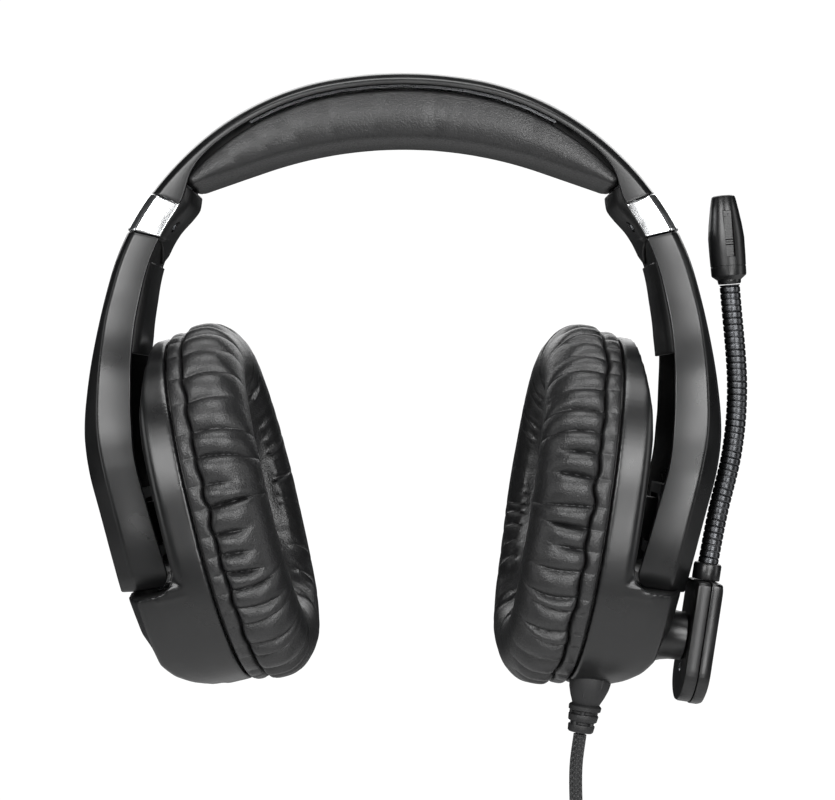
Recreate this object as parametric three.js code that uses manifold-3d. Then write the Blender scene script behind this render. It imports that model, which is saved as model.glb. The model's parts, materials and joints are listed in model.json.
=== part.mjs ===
// A wired over-ear gaming headset with a boom microphone, in millimetres, +Z up.
// X runs from the wearer's one ear to the other, and -Y is the side that the microphone boom swings to.
// The origin is the middle of the headband pad's underside, where the headset rests on a head.
import * as THREE from "three";
import { mergeVertices } from "three/addons/utils/BufferGeometryUtils.js";
import Module from "manifold-3d";

const wasm = await Module();
wasm.setup();

// ---------------------------------------------------------------- driving dimensions

const GAP = 0.3; // clearance between touching pieces

// The outer front edge of band and arm: arcs of [radius, degrees] from the top centre, then a straight.
const EDGE_TOP = 20.67;
const EDGE_ARCS = [[124, 10.1], [82.6, 29.6], [95.6, 14.9], [75.6, 20], [216.5, 10.5], [76.8, 18.8]];

// Stations along that edge, as arc length from the top centre.
const SHELL_END = 87.2;
const TRIM = [87.5, 100.4];
const ARM = [100.8, 213.2];
const COVER = [101.6, 136];
const COVER_STEP = 109;
const GUIDE = [82, 107.4];

// Cross-section of band and arm, as [station, value] pairs joined by straight ramps.
const FACE_HEIGHT = [[0, 3.2], [66, 3.3], [72, 3.9], [76, 4.9], [82, 7.4], [87.5, 9.1], [100.4, 9.4],
  [115, 9.8], [128, 10.4], [139, 11.6], [148, 13], [162, 14.6], [180, 14.9], [200, 15.5], [215, 16.2]];
const FACE_SHEAR = [[0, 0], [74, 0], [82, 15], [100, 14], [114, 7], [130, 0], [195, 0], [215, -4]];
const HALF_WIDTH = [[0, 18], [100, 17.8], [118, 18.5], [132, 20.5], [145, 24], [165, 26.5], [178, 27],
  [198, 25.5],
  [215, 22.5]];
const CHAMFER = [[0, 0.3], [128, 0.3], [175, 3.9], [215, 3.9]];
const CROWN = [[0, 2], [165, 2], [195, 0.5], [215, 0.5]];
const WALL = 1.8;

// Headband pad, liner, spring and wire.
const PAD_HALF_WIDTH = 17;
const PAD_TOP = 7.6;
const PAD_ARC = 131;
const PAD_SLOPE = THREE.MathUtils.degToRad(19);
const PAD_END = 75;
const LINER = { top: 5.8, bottom: 7.2, halfWidth: 14, end: 72 };
const SPRING = { top: 2.5, bottom: 3.3, halfWidth: 11, end: 50 };

// The size adjuster slides round this centre; its strip is a band of spring steel.
const SLIDER = { x: -9.7, z: -78.9, radius: 101.5, thickness: 1.2, halfWidth: 7, from: 16, to: 48 };

// Ear cups: the centre of the groove between shell and pad, and how far the top leans outwards.
const CUP_SIDES = {
  left: { x: 60.7, z: -111.8, tilt: 13.8 },
  right: { x: 59.6, z: -111.9, tilt: 8.7 },
};
const NEUTRAL_TILT = 13.8;
const SWIVEL = 4;
const PIVOT_OUT = 19;
const CUP = { halfHeight: 53.7, halfWidth: 43, power: 2.3, back: -2.2, depth: 7.9, round: 3, wall: 2.2 };
const DISH = { depth: 1.5, halfWidth: 30, slopeFrom: 14, slope: 4.2 };
const NOTCH = { floor: -21.2, radius: 6 };
const CHIN = [[28, -21.2], [27, -31.5], [24, -39.6], [21.9, -43.9], [20.6, -46], [17, -49.3], [13, -51.5]];
const CHIN_FACE = 19.8;
const PAD_SHELL = { back: -2.9, seam: -7.6, front: -24, halfHeight: 55, halfWidth: 44, hole: [31, 23] };
const BAFFLE = { front: -2.6, back: -0.6, bore: 21 };
const DRIVER = { front: -2.4, depth: 4.8 };
const MAGNET = { front: 2.6, back: 3.8, radius: 7 };
const GRILLE = [-2.9, -3.7];

// Microphone boom, in the right cup's own frame.
const BOOM = {
  y: -10, z: -34, inner: 31.2, split: 35.2, outer: 39.2, halfWidth: 10.5, top: -16, bottom: -54,
};
const NECK = { radius: 3.1, points: [[35.1, -11], [35.7, 4.5], [37.2, 24.5], [35.8, 43.5], [28.7, 74.3]] };
const NECK_PIECES = 5;
const MIC = { length: 27, profile: [[0, 3.4], [2.4, 5.3], [14, 5.5], [26.2, 3.6], [27, 3.2]] };

// Cable, and the hank that its spare length is tied into.
const CORD_RADIUS = 2;
const RELIEF = { x: 5.6, y: -13, top: -46, bottom: -69.5 };
const LEAD = [[55.5, -13.9, -182], [53.9, -13.7, -190.5], [52.6, -13.5, -200], [53.2, -12.8, -207],
  [56.3, -11.2, -212.5], [60.2, -9.4, -217], [62, -8.4, -220.2]];
const HANK = { x: 51, y: [-9.6, 12], top: -233, run: 66, outer: 14 };
const TIE = { z: -266, height: 12, thickness: 1.2 };
const TAIL = [
  [59.4, 14.9, -241], [57.6, 17.4, -247], [53.6, 19.8, -253], [51.2, 20.4, -258], [51, 20.4, -260.7],
];
const REMOTE = { x: 51, y: 20.4, top: -261, length: 55, width: 18, depth: 10.6, wall: 1.4 };
const WHEEL = { x: 53.2, z: -273, radius: 8, thickness: 3 };
const MUTE = { z: -297, width: 4, length: 7, travel: 3 };
const PLUG_TOP = -327;

// ---------------------------------------------------------------- looks

const LOOKS = {
  shell: { color: 0x1b1c1d, roughness: 0.38, metalness: 0 },
  plastic: { color: 0x151516, roughness: 0.5, metalness: 0 },
  chrome: { color: 0xe8eaea, roughness: 0.08, metalness: 1 },
  leather: { color: 0x161617, roughness: 0.48, metalness: 0 },
  steel: { color: 0x8d9094, roughness: 0.3, metalness: 1 },
  darkMetal: { color: 0x3c3e40, roughness: 0.3, metalness: 0.8 },
  rubber: { color: 0x121213, roughness: 0.6, metalness: 0 },
  braid: { color: 0x18191a, roughness: 0.75, metalness: 0 },
  cloth: { color: 0x0e0e0f, roughness: 0.95, metalness: 0 },
  gold: { color: 0xc9a24a, roughness: 0.25, metalness: 1 },
  board: { color: 0x14472b, roughness: 0.6, metalness: 0.1 },
};

function named(name, look, geometry) {
  const mesh = new THREE.Mesh(geometry, new THREE.MeshStandardMaterial(LOOKS[look]));
  mesh.name = name;
  return mesh;
}

// ---------------------------------------------------------------- solids

function toSolid(geometry) {
  const bare = geometry.clone();
  bare.deleteAttribute("normal");
  bare.deleteAttribute("uv");
  const merged = mergeVertices(bare, 1e-4);
  return new wasm.Manifold(new wasm.Mesh({
    numProp: 3,
    vertProperties: new Float32Array(merged.attributes.position.array),
    triVerts: new Uint32Array(merged.index.array),
  }));
}

function toGeometry(solid) {
  const mesh = solid.getMesh();
  const geometry = new THREE.BufferGeometry();
  geometry.setAttribute("position", new THREE.BufferAttribute(new Float32Array(mesh.vertProperties), 3));
  geometry.setIndex(new THREE.BufferAttribute(new Uint32Array(mesh.triVerts), 1));
  return geometry;
}

function cut(geometry, ...tools) {
  return toGeometry(tools.reduce((solid, tool) => solid.subtract(toSolid(tool)), toSolid(geometry)));
}

function join(geometry, ...others) {
  return toGeometry(others.reduce((solid, other) => solid.add(toSolid(other)), toSolid(geometry)));
}

function box(x, y, z) {
  return new THREE.BoxGeometry(x[1] - x[0], y[1] - y[0], z[1] - z[0])
    .translate((x[0] + x[1]) / 2, (y[0] + y[1]) / 2, (z[0] + z[1]) / 2);
}

// A cylinder or cone between two points.
function rod(from, to, radius, endRadius = radius, sides = 16) {
  const a = new THREE.Vector3(...from);
  const b = new THREE.Vector3(...to);
  const turn = new THREE.Quaternion()
    .setFromUnitVectors(new THREE.Vector3(0, 1, 0), b.clone().sub(a).normalize());
  const middle = a.clone().add(b).multiplyScalar(0.5);
  return new THREE.CylinderGeometry(endRadius, radius, a.distanceTo(b), sides)
    .applyQuaternion(turn).translate(middle.x, middle.y, middle.z);
}

// A closed skin over rings that each hold the same number of points; outline gives the end caps.
function loft(rings, outline) {
  const count = rings[0].length;
  const points = rings.flat().flatMap((p) => [p.x, p.y, p.z]);
  const faces = [];
  for (let i = 0; i + 1 < rings.length; i++) {
    for (let j = 0; j < count; j++) {
      const k = (j + 1) % count;
      const a = i * count;
      const b = a + count;
      faces.push(a + j, a + k, b + k, a + j, b + k, b + j);
    }
  }
  const last = (rings.length - 1) * count;
  for (const [a, b, c] of THREE.ShapeUtils.triangulateShape(outline, [])) {
    const same = THREE.ShapeUtils.isClockWise([outline[a], outline[b], outline[c]])
      === THREE.ShapeUtils.isClockWise(outline);
    const [p, q] = same ? [b, c] : [c, b];
    faces.push(a, q, p, last + a, last + p, last + q);
  }
  const geometry = new THREE.BufferGeometry();
  geometry.setAttribute("position", new THREE.Float32BufferAttribute(points, 3));
  geometry.setIndex(faces);
  return facingOut(geometry);
}

function facingOut(geometry) {
  const p = geometry.attributes.position;
  const index = geometry.index.array;
  const [a, b, c] = [new THREE.Vector3(), new THREE.Vector3(), new THREE.Vector3()];
  let volume = 0;
  for (let i = 0; i < index.length; i += 3) {
    a.fromBufferAttribute(p, index[i]);
    b.fromBufferAttribute(p, index[i + 1]);
    c.fromBufferAttribute(p, index[i + 2]);
    volume += a.dot(b.cross(c));
  }
  if (volume > 0) return geometry;
  const turned = [];
  for (let i = 0; i < index.length; i += 3) turned.push(index[i], index[i + 2], index[i + 1]);
  geometry.setIndex(turned);
  return geometry;
}

function tube(points, radius, sides = 8, steps = 20) {
  const path = new THREE.CatmullRomCurve3(points.map((p) => new THREE.Vector3(...p)), false, "centripetal");
  const circle = new THREE.Shape().absarc(0, 0, radius, 0, Math.PI * 2);
  const options = { steps, curveSegments: sides, extrudePath: path, bevelEnabled: false };
  return new THREE.ExtrudeGeometry(circle, options);
}

// ---------------------------------------------------------------- curves

function ramp(pairs, at) {
  const next = pairs.findIndex(([station]) => station >= at);
  if (next <= 0) return pairs[next < 0 ? pairs.length - 1 : 0][1];
  const [s0, v0] = pairs[next - 1];
  const [s1, v1] = pairs[next];
  return v0 + ((v1 - v0) * (at - s0)) / (s1 - s0);
}

function smoothRamp(pairs, at) {
  const reach = 3;
  return [-1, -0.5, 0, 0.5, 1].reduce((sum, k) => sum + ramp(pairs, at + k * reach), 0) / 5;
}

// The outer front edge at one station: a point, its heading below +X, and the direction across the face.
function edge(station) {
  const side = Math.sign(station) || 1;
  let left = Math.abs(station);
  let [x, z, heading] = [0, EDGE_TOP, 0];
  for (const [radius, degrees] of EDGE_ARCS) {
    const turn = Math.min(left / radius, THREE.MathUtils.degToRad(degrees));
    x += radius * (Math.sin(heading + turn) - Math.sin(heading));
    z += radius * (Math.cos(heading + turn) - Math.cos(heading));
    heading += turn;
    left -= turn * radius;
    if (left < 1e-9) break;
  }
  x += left * Math.cos(heading);
  z -= left * Math.sin(heading);
  const across = heading + THREE.MathUtils.degToRad(smoothRamp(FACE_SHEAR, Math.abs(station)));
  return { x: x * side, z, across: [-Math.sin(across) * side, -Math.cos(across)] };
}

// A section's points [y, depth below the outer edge] set at one station.
function place(station, section) {
  const { x, z, across } = edge(station);
  return section.map(([y, depth]) => new THREE.Vector3(x + across[0] * depth, y, z + across[1] * depth));
}

function stations(from, to, step) {
  const count = Math.max(1, Math.round(Math.abs(to - from) / step));
  return Array.from({ length: count + 1 }, (_, i) => from + ((to - from) * i) / count);
}

function sweep(at, sectionOf) {
  const sections = at.map(sectionOf);
  const outline = sections[0].map(([y, depth]) => new THREE.Vector2(y, depth));
  return loft(at.map((station, i) => place(station, sections[i])), outline);
}

const mirrored = (half) => [
  ...half, ...half.slice().reverse().filter(([y]) => y > 0).map(([y, d]) => [-y, d]),
];

// The outside of band, trim and arm: a crowned back, a chamfer and a flat front face.
function outside(station, proud = 0) {
  const s = Math.abs(station);
  const width = smoothRamp(HALF_WIDTH, s) + proud;
  const chamfer = smoothRamp(CHAMFER, s);
  const height = smoothRamp(FACE_HEIGHT, s);
  const crown = ramp(CROWN, s);
  return [[0, -crown - proud], [width * 0.6, -crown * 0.6 - proud], [width - 1.6 - 1.4 * chamfer, -proud],
    [width, 1.3 + chamfer], [width, height - 0.6], [width - 0.6, height]];
}

function inside(station) {
  const s = Math.abs(station);
  const width = smoothRamp(HALF_WIDTH, s) - WALL;
  const chamfer = smoothRamp(CHAMFER, s);
  const crown = ramp(CROWN, s);
  return [[width, 1.9 + chamfer], [width - 1.8 - 1.2 * chamfer, WALL], [width * 0.55, WALL - crown * 0.5],
    [0, WALL - crown]];
}

// An open channel: the outside, then back along the inside.
function channel(station, proud = 0) {
  const rim = [inside(station)[0][0], smoothRamp(FACE_HEIGHT, Math.abs(station))];
  const half = [...outside(station, proud), rim, ...inside(station)];
  const other = half.slice(1, -1).reverse().map(([y, d]) => [-y, d]);
  return [...half, ...other];
}

// ---------------------------------------------------------------- headband

const strip = ({ top, bottom, halfWidth }) => () =>
  [[-halfWidth, top], [halfWidth, top], [halfWidth, bottom], [-halfWidth, bottom]];

// Height of the pad's underside on the middle line.
function padUnder(x) {
  const arc = PAD_ARC * Math.sin(PAD_SLOPE);
  const at = Math.min(Math.abs(x), arc);
  return Math.sqrt(PAD_ARC ** 2 - at ** 2) - PAD_ARC - Math.tan(PAD_SLOPE) * (Math.abs(x) - at);
}

function padDepth(station) {
  const { x, z, across } = edge(station);
  let depth = PAD_TOP;
  while (z + across[1] * depth > padUnder(x + across[0] * depth)) depth += 0.05;
  return depth;
}

function padSection(station) {
  const low = padDepth(station);
  const end = (PAD_END - Math.abs(station)) / 7;
  const grow = end < 1 ? Math.sqrt(1 - (1 - Math.max(end, 0)) ** 2) : 1;
  const middle = PAD_TOP + (low - PAD_TOP) * 0.55;
  const size = Math.max(grow, 0.35);
  const points = [[14, PAD_TOP], [17, PAD_TOP + (low - PAD_TOP) * 0.25], [17, PAD_TOP + (low - PAD_TOP) * 0.55],
    [14, PAD_TOP + (low - PAD_TOP) * 0.85], [8, low - 0.4], [0, low]];
  const half = [[0, PAD_TOP], ...points]
    .map(([y, d]) => [(y * PAD_HALF_WIDTH * size) / 17, middle + (d - middle) * size]);
  return [...half, ...half.slice(1, -1).reverse().map(([y, d]) => [-y, d])];
}

function headbandParts() {
  const wire = stations(-56, 56, 8).map((s) => place(s, [[13.4, 4.2]])[0].toArray());
  return [
    named("headband_shell", "shell", sweep(stations(-SHELL_END, SHELL_END, 5.5), (s) => channel(s))),
    named("spring_band", "steel", sweep(stations(-SPRING.end, SPRING.end, 10), strip(SPRING))),
    named("headband_liner", "plastic", sweep(stations(-LINER.end, LINER.end, 9), strip(LINER))),
    named("headband_pad", "leather", sweep(stations(-PAD_END, PAD_END, 6), padSection)),
    named("crossover_wire", "rubber", tube(wire, 0.7, 6, 16)),
  ];
}

// ---------------------------------------------------------------- size adjuster and arm

function sliderStrip() {
  const { x, z, radius, thickness, halfWidth, from, to } = SLIDER;
  const shape = new THREE.Shape();
  const [a, b] = [from, to].map(THREE.MathUtils.degToRad);
  shape.absarc(x, z, radius + thickness / 2, a, b, false);
  shape.absarc(x, z, radius - thickness / 2, b, a, true);
  return new THREE.ExtrudeGeometry(shape, { depth: 2 * halfWidth, curveSegments: 12, bevelEnabled: false })
    .rotateX(Math.PI / 2).translate(0, halfWidth, 0);
}

// A crowned plate that fills the channel's open side and stands proud of it.
function plateSection(station, top, proud) {
  const rim = smoothRamp(FACE_HEIGHT, Math.abs(station));
  const width = inside(station)[0][0] - GAP;
  const half = [[0, top], [width, top], [width, rim], [width - 2.5, rim + proud * 0.55], [0, rim + proud]];
  return [...half, ...half.slice(1, -1).reverse().map(([y, d]) => [-y, d])];
}

const GUIDE_SCREW = { station: 95.2, y: -11, radius: 1.6 };

function guide() {
  const body = sweep(stations(GUIDE[0], GUIDE[1], 4.3), (s) => plateSection(s, s > TRIM[1] ? 11.6 : 6.4, 3.4));
  const tips = [-1, 1].map((side) => {
    const shape = new THREE.Shape([[0, 36.9], [side * 20, 29], [side * 20, 60], [0, 60]]
      .map(([y, z]) => new THREE.Vector2(y, -z)));
    return new THREE.ExtrudeGeometry(shape, { depth: 60, bevelEnabled: false })
      .rotateX(Math.PI / 2).rotateZ(Math.PI / 2).translate(50, 0, 0);
  });
  const [top, low] = place(GUIDE_SCREW.station, [[GUIDE_SCREW.y, 4], [GUIDE_SCREW.y, 16]]);
  return cut(body, ...tips, rod(top.toArray(), low.toArray(), GUIDE_SCREW.radius + GAP, undefined, 12));
}

function guideScrew() {
  const [top, low] = place(GUIDE_SCREW.station, [[GUIDE_SCREW.y, 6.6], [GUIDE_SCREW.y, 11.2]]);
  return rod(top.toArray(), low.toArray(), GUIDE_SCREW.radius, undefined, 12);
}

// Geometry in the neutral cup frame moved to where the arm holds the pivot.
function atPivot(geometry, side) {
  const { x, z, tilt } = CUP_SIDES[side];
  const lean = THREE.MathUtils.degToRad(tilt);
  const pivot = [x + PIVOT_OUT * Math.cos(lean), z - PIVOT_OUT * Math.sin(lean)];
  return geometry.rotateY(THREE.MathUtils.degToRad(NEUTRAL_TILT)).translate(pivot[0], 0, pivot[1]);
}

function armShell(side) {
  const closed = (section) => [...section, ...section.slice(1).reverse().map(([y, d]) => [-y, d])];
  const at = [...stations(ARM[0], 140, 5), ...stations(145, ARM[1] - 6, 6), ARM[1] - 3.4, ARM[1] - 1.4, ARM[1]];
  const ends = [[ARM[1] - 6, 1], [ARM[1] - 3.4, 0.96], [ARM[1] - 1.4, 0.88], [ARM[1], 0.76]];
  const body = sweep(at, (s) => {
    const shrink = ramp(ends, s);
    const middle = 7.4;
    return closed(outside(s)).map(([y, d]) => [y * shrink, s > 150 ? middle + (d - middle) * shrink : d]);
  });
  const hollow = sweep(stations(ARM[0] - 3, ARM[1] - 6, 6), (s) => {
    const [rim, corner, slope, top] = inside(s);
    return [top, slope, corner, rim, [rim[0], 26], [-rim[0], 26], [-rim[0], rim[1]], [-corner[0], corner[1]],
      [-slope[0], slope[1]]];
  });
  const lugs = [-1, 1].map((end) => {
    const y = [16.4, 20].map((v) => v * end).sort((p, q) => p - q);
    return toSolid(atPivot(box([-3.5, 14], y, [-5, 5]), side)).intersect(toSolid(body));
  });
  const bore = atPivot(rod([0, -30, 0], [0, 30, 0], 1.5 + GAP, undefined, 12), side);
  const within = box([40, 120], [-21.5, 21.5], [-160, -60]);
  const drilled = toSolid(bore).intersect(toSolid(within));
  const shell = toSolid(cut(body, hollow));
  const lugged = lugs.reduce((solid, lug) => solid.add(lug), shell);
  return toGeometry(lugged.subtract(drilled));
}

function armCover() {
  const low = sweep(stations(COVER[0], COVER_STEP - GAP, 3), (s) => plateSection(s, 7, -2));
  const high = sweep(stations(COVER_STEP - 1, COVER[1], 5), (s) => plateSection(s, 7, 3.5));
  const step = sweep([COVER_STEP - 3, COVER_STEP], () => [[-22, 5], [22, 5], [22, 18], [-22, 18]]);
  return join(low, toGeometry(toSolid(high).subtract(toSolid(step))), join(
    sweep([COVER_STEP - 1.5, COVER_STEP + 1.5], (s) => plateSection(s, 7, -2)),
  ));
}

// ---------------------------------------------------------------- pivot and cup

const PIN = 1.5;

function bracket() {
  const ring = cut(box([-1.6, 1.6], [-14.5, 14.5], [-11, 11]), box([-3, 3], [-11, 11], [-7.8, 7.8]),
    rod([0, 0, -14], [0, 0, 14], 1.2, undefined, 12));
  const pins = [-1, 1].map((end) => rod([0, 13 * end, 0], [0, 19.8 * end, 0], PIN, undefined, 12));
  return join(ring, ...pins);
}

// Points of the cup's outline: an ellipse with fuller corners.
function oval(halfHeight, halfWidth, power, count, x) {
  return Array.from({ length: count }, (_, i) => {
    const angle = (2 * Math.PI * i) / count;
    const [c, s] = [Math.cos(angle), Math.sin(angle)];
    const stretch = (Math.abs(c) ** power + Math.abs(s) ** power) ** (-1 / power);
    return new THREE.Vector3(x, halfWidth * stretch * s, halfHeight * stretch * c);
  });
}

function ovalLoft(profile, power = CUP.power, count = 40) {
  const rings = profile.map(([x, inset]) =>
    oval(CUP.halfHeight - inset, CUP.halfWidth - inset, power, count, x));
  return loft(rings, rings[0].map((p) => new THREE.Vector2(p.y, p.z)));
}

// The thick lower part of the cup, below the notch that the arm's end sits in.
function chin(grow) {
  const heights = [NOTCH.floor + grow, -27, -33, -39, -43, -46.5, -49.5, -51.6 - grow];
  const profile = CHIN.map(([x, z]) => [-z, x]);
  const rings = heights.map((z) => {
    const reach = Math.max(ramp(profile, -z), 3) + grow;
    const full = CUP.halfWidth * (1 - Math.min(-z / CUP.halfHeight, 0.999) ** CUP.power) ** (1 / CUP.power);
    const width = Math.max(full, 8) - 1.2 + grow;
    const face = Math.min(CHIN_FACE, reach - 3.4) + grow;
    const half = [[CUP.back, width], [face - 6, width], [face, width - 2.2], [reach - 1.5, width * 0.5],
      [reach, width * 0.12]];
    return [...half, ...half.slice().reverse().map(([x, y]) => [x, -y])]
      .map(([x, y]) => new THREE.Vector3(x, y, z));
  });
  return loft(rings, rings[0].map((p) => new THREE.Vector2(p.x, p.y)));
}

function cupOutside(grow = 0) {
  const { depth, round } = CUP;
  const plate = ovalLoft([[CUP.back, -grow], [depth - round, -grow],
    [depth - round * 0.35, round * 0.3 - grow],
    [depth + grow, round - grow]]);
  const { floor, radius } = NOTCH;
  const fillet = new THREE.Shape();
  fillet.moveTo(depth - 3, floor - 2);
  fillet.lineTo(depth + radius, floor - 2);
  fillet.absarc(depth + radius, floor + radius, radius, -Math.PI / 2, -Math.PI, true);
  fillet.lineTo(depth - 3, floor + radius);
  const corner = new THREE.ExtrudeGeometry(fillet, { depth: 72, curveSegments: 5, bevelEnabled: false })
    .rotateX(Math.PI / 2).translate(0, 36, 0);
  return join(plate, chin(grow), corner);
}

// The recess that the arm moves in: flat behind the pivot, then sloping away towards the top.
function dish(inwards) {
  const face = CUP.depth - DISH.depth - inwards;
  const top = 60;
  const shape = new THREE.Shape([[face, NOTCH.floor + NOTCH.radius], [face, DISH.slopeFrom],
    [face - DISH.slope, top], [face + 40, top], [face + 40, NOTCH.floor + NOTCH.radius]]
    .map(([x, z]) => new THREE.Vector2(x, z)));
  return new THREE.ExtrudeGeometry(shape, { depth: 2 * DISH.halfWidth, bevelEnabled: false })
    .rotateX(Math.PI / 2).translate(0, DISH.halfWidth, 0);
}

function cupShell() {
  const full = ovalLoft([[CUP.back - 1, CUP.wall], [CUP.depth - CUP.wall - DISH.depth, CUP.wall]],
    CUP.power, 40);
  const hollow = cut(full, dish(CUP.wall));
  const chinHollow = box([CUP.depth - CUP.wall - DISH.depth - 0.5, 21], [-20, 20], [-43, -24.5]);
  const boss = cut(box([CUP.depth - DISH.depth - 1, PIVOT_OUT + 2.4], [-4, 4], [-6.4, 6.4]),
    rod([PIVOT_OUT, 0, -10], [PIVOT_OUT, 0, 10], 1.2, undefined, 12));
  return join(cut(cupOutside(), hollow, chinHollow, dish(0)), boss);
}

function baffle() {
  const plate = ovalLoft([[BAFFLE.front, CUP.wall + GAP], [BAFFLE.back, CUP.wall + GAP]]);
  return cut(plate, rod([-5, 0, 0], [5, 0, 0], BAFFLE.bore, undefined, 32));
}

function earPad() {
  const { back, seam, front, halfHeight, halfWidth, hole } = PAD_SHELL;
  const section = [[back, -1], [seam + 0.8, -1.6], [seam, -2.6], [seam - 2, -0.6], [-11, 0], [-17, -0.6],
    [-21.4, -4], [front, -11], [front, -15.5], [-22.4, -20], [-20, null], [back, null]];
  const rings = section.map(([x, inset]) => inset === null
    ? oval(hole[0], hole[1], 2.1, 36, x)
    : oval(halfHeight + inset, halfWidth + inset, 2.25, 36, x));
  const count = rings[0].length;
  const points = rings.flat().flatMap((p) => [p.x, p.y, p.z]);
  const faces = [];
  for (let i = 0; i < rings.length; i++) {
    for (let j = 0; j < count; j++) {
      const k = (j + 1) % count;
      const a = i * count;
      const b = ((i + 1) % rings.length) * count;
      faces.push(a + j, a + k, b + k, a + j, b + k, b + j);
    }
  }
  const geometry = new THREE.BufferGeometry();
  geometry.setAttribute("position", new THREE.Float32BufferAttribute(points, 3));
  geometry.setIndex(faces);
  return facingOut(geometry);
}

function lathe(profile, sides) {
  return new THREE.LatheGeometry(profile.map(([r, h]) => new THREE.Vector2(r, h)), sides);
}

function driver() {
  const { front, depth } = DRIVER;
  return lathe([[0, 0], [20.4, 0], [20.4, 1.8], [15, 2.2], [13.5, depth], [0, depth]], 28)
    .rotateZ(-Math.PI / 2).translate(front, 0, 0);
}

function cupParts(side) {
  const { x, z, tilt } = CUP_SIDES[side];
  const lean = THREE.MathUtils.degToRad(tilt);
  const held = new THREE.Group();
  held.position.set(x + PIVOT_OUT * Math.cos(lean), 0, z - PIVOT_OUT * Math.sin(lean));
  held.rotation.y = lean;
  held.add(named(`${side}_pivot_bracket`, "plastic", bracket()));
  held.add(named(`${side}_swivel_pin`, "steel", rod([0, 0, -10.8], [0, 0, 10.8], 1, undefined, 12)));
  const turned = new THREE.Group();
  turned.rotation.z = THREE.MathUtils.degToRad(SWIVEL);
  const cup = new THREE.Group();
  cup.position.x = -PIVOT_OUT;
  cup.add(
    named(`${side}_cup_shell`, "shell", cupShell()),
    named(`${side}_baffle`, "plastic", baffle()),
    named(`${side}_driver`, "darkMetal", driver()),
    named(`${side}_driver_magnet`, "steel",
      rod([MAGNET.front, 0, 0], [MAGNET.back, 0, 0], MAGNET.radius, undefined, 20)),
    named(`${side}_grille_cloth`, "cloth",
      loft(GRILLE.map((at) => oval(29.5, 21.5, 2.1, 28, at)), oval(29.5, 21.5, 2.1, 28, 0)
        .map((p) => new THREE.Vector2(p.y, p.z)))),
    named(`${side}_ear_pad`, "leather", earPad()),
  );
  turned.add(cup);
  held.add(turned);
  return { held, cup };
}

function sideParts(side) {
  const group = new THREE.Group();
  group.add(
    named(`${side}_trim`, "chrome", sweep(stations(TRIM[0], TRIM[1], 4.3), (s) => channel(s, 0.35))),
    named(`${side}_slider_guide`, "plastic", guide()),
    named(`${side}_guide_screw`, "darkMetal", guideScrew()),
    named(`${side}_slider_strip`, "steel", sliderStrip()),
    named(`${side}_arm_shell`, "shell", armShell(side)),
    named(`${side}_arm_cover`, "plastic", armCover()),
  );
  const { held, cup } = cupParts(side);
  group.add(held);
  if (side === "left") group.scale.x = -1;
  return { group, cup };
}

// ---------------------------------------------------------------- microphone boom

// The base plate's outline, seen along the stub: straight sides over a round bottom.
function boomPlate(from, to, inset) {
  const { y, top, bottom } = BOOM;
  const radius = BOOM.halfWidth - inset;
  const shape = new THREE.Shape();
  shape.moveTo(radius, top - inset);
  shape.lineTo(-radius, top - inset);
  shape.lineTo(-radius, bottom + BOOM.halfWidth);
  shape.absarc(0, bottom + BOOM.halfWidth, radius, Math.PI, 2 * Math.PI, false);
  return new THREE.ExtrudeGeometry(shape, { depth: to - from, curveSegments: 12, bevelEnabled: false })
    .rotateX(Math.PI / 2).rotateZ(Math.PI / 2).translate(from, y, 0);
}

const BOOM_SCREW = { z: -43.5, radius: 1.2 };

function boomParts(cup) {
  const { y, z, inner, split, outer, top } = BOOM;
  const cone = rod([12, y, z], [24, y, z], 11, 7.3, 24);
  const stub = cut(join(cone, rod([23.8, y, z], [inner - GAP, y, z], 7.3, 7.3, 24)),
    cupOutside(GAP));
  const screwHole = rod([inner - 1, y, BOOM_SCREW.z], [inner + 1.2, y, BOOM_SCREW.z], BOOM_SCREW.radius + GAP,
    undefined, 12);
  const collar = rod([NECK.points[0][0], y, top - 3], [NECK.points[0][0], y, top + 4.4], 4.2, 4, 20);
  const clear = box([0, split + GAP], [-40, 20], [-60, top + 0.2]);
  cup.add(
    named("mic_stub", "shell", stub),
    named("boom_base_inner", "plastic", cut(boomPlate(inner, split, 0.4), screwHole)),
    named("boom_base_outer", "shell", join(boomPlate(split + GAP, outer, 0),
      toGeometry(toSolid(collar).subtract(toSolid(clear))))),
    named("boom_screw", "steel", rod([inner - 0.1, y, BOOM_SCREW.z], [inner + 0.8, y, BOOM_SCREW.z],
      BOOM_SCREW.radius, undefined, 12)),
  );
  const knots = NECK.points.map(([px, pz]) => new THREE.Vector3(px, y, pz));
  const curve = new THREE.CatmullRomCurve3(knots, false,
    "centripetal");
  for (let i = 0; i < NECK_PIECES; i++) {
    cup.add(named(`gooseneck_${i + 1}`, "darkMetal", neckPiece(curve, i)));
  }
  cup.add(...micParts(curve));
}

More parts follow.
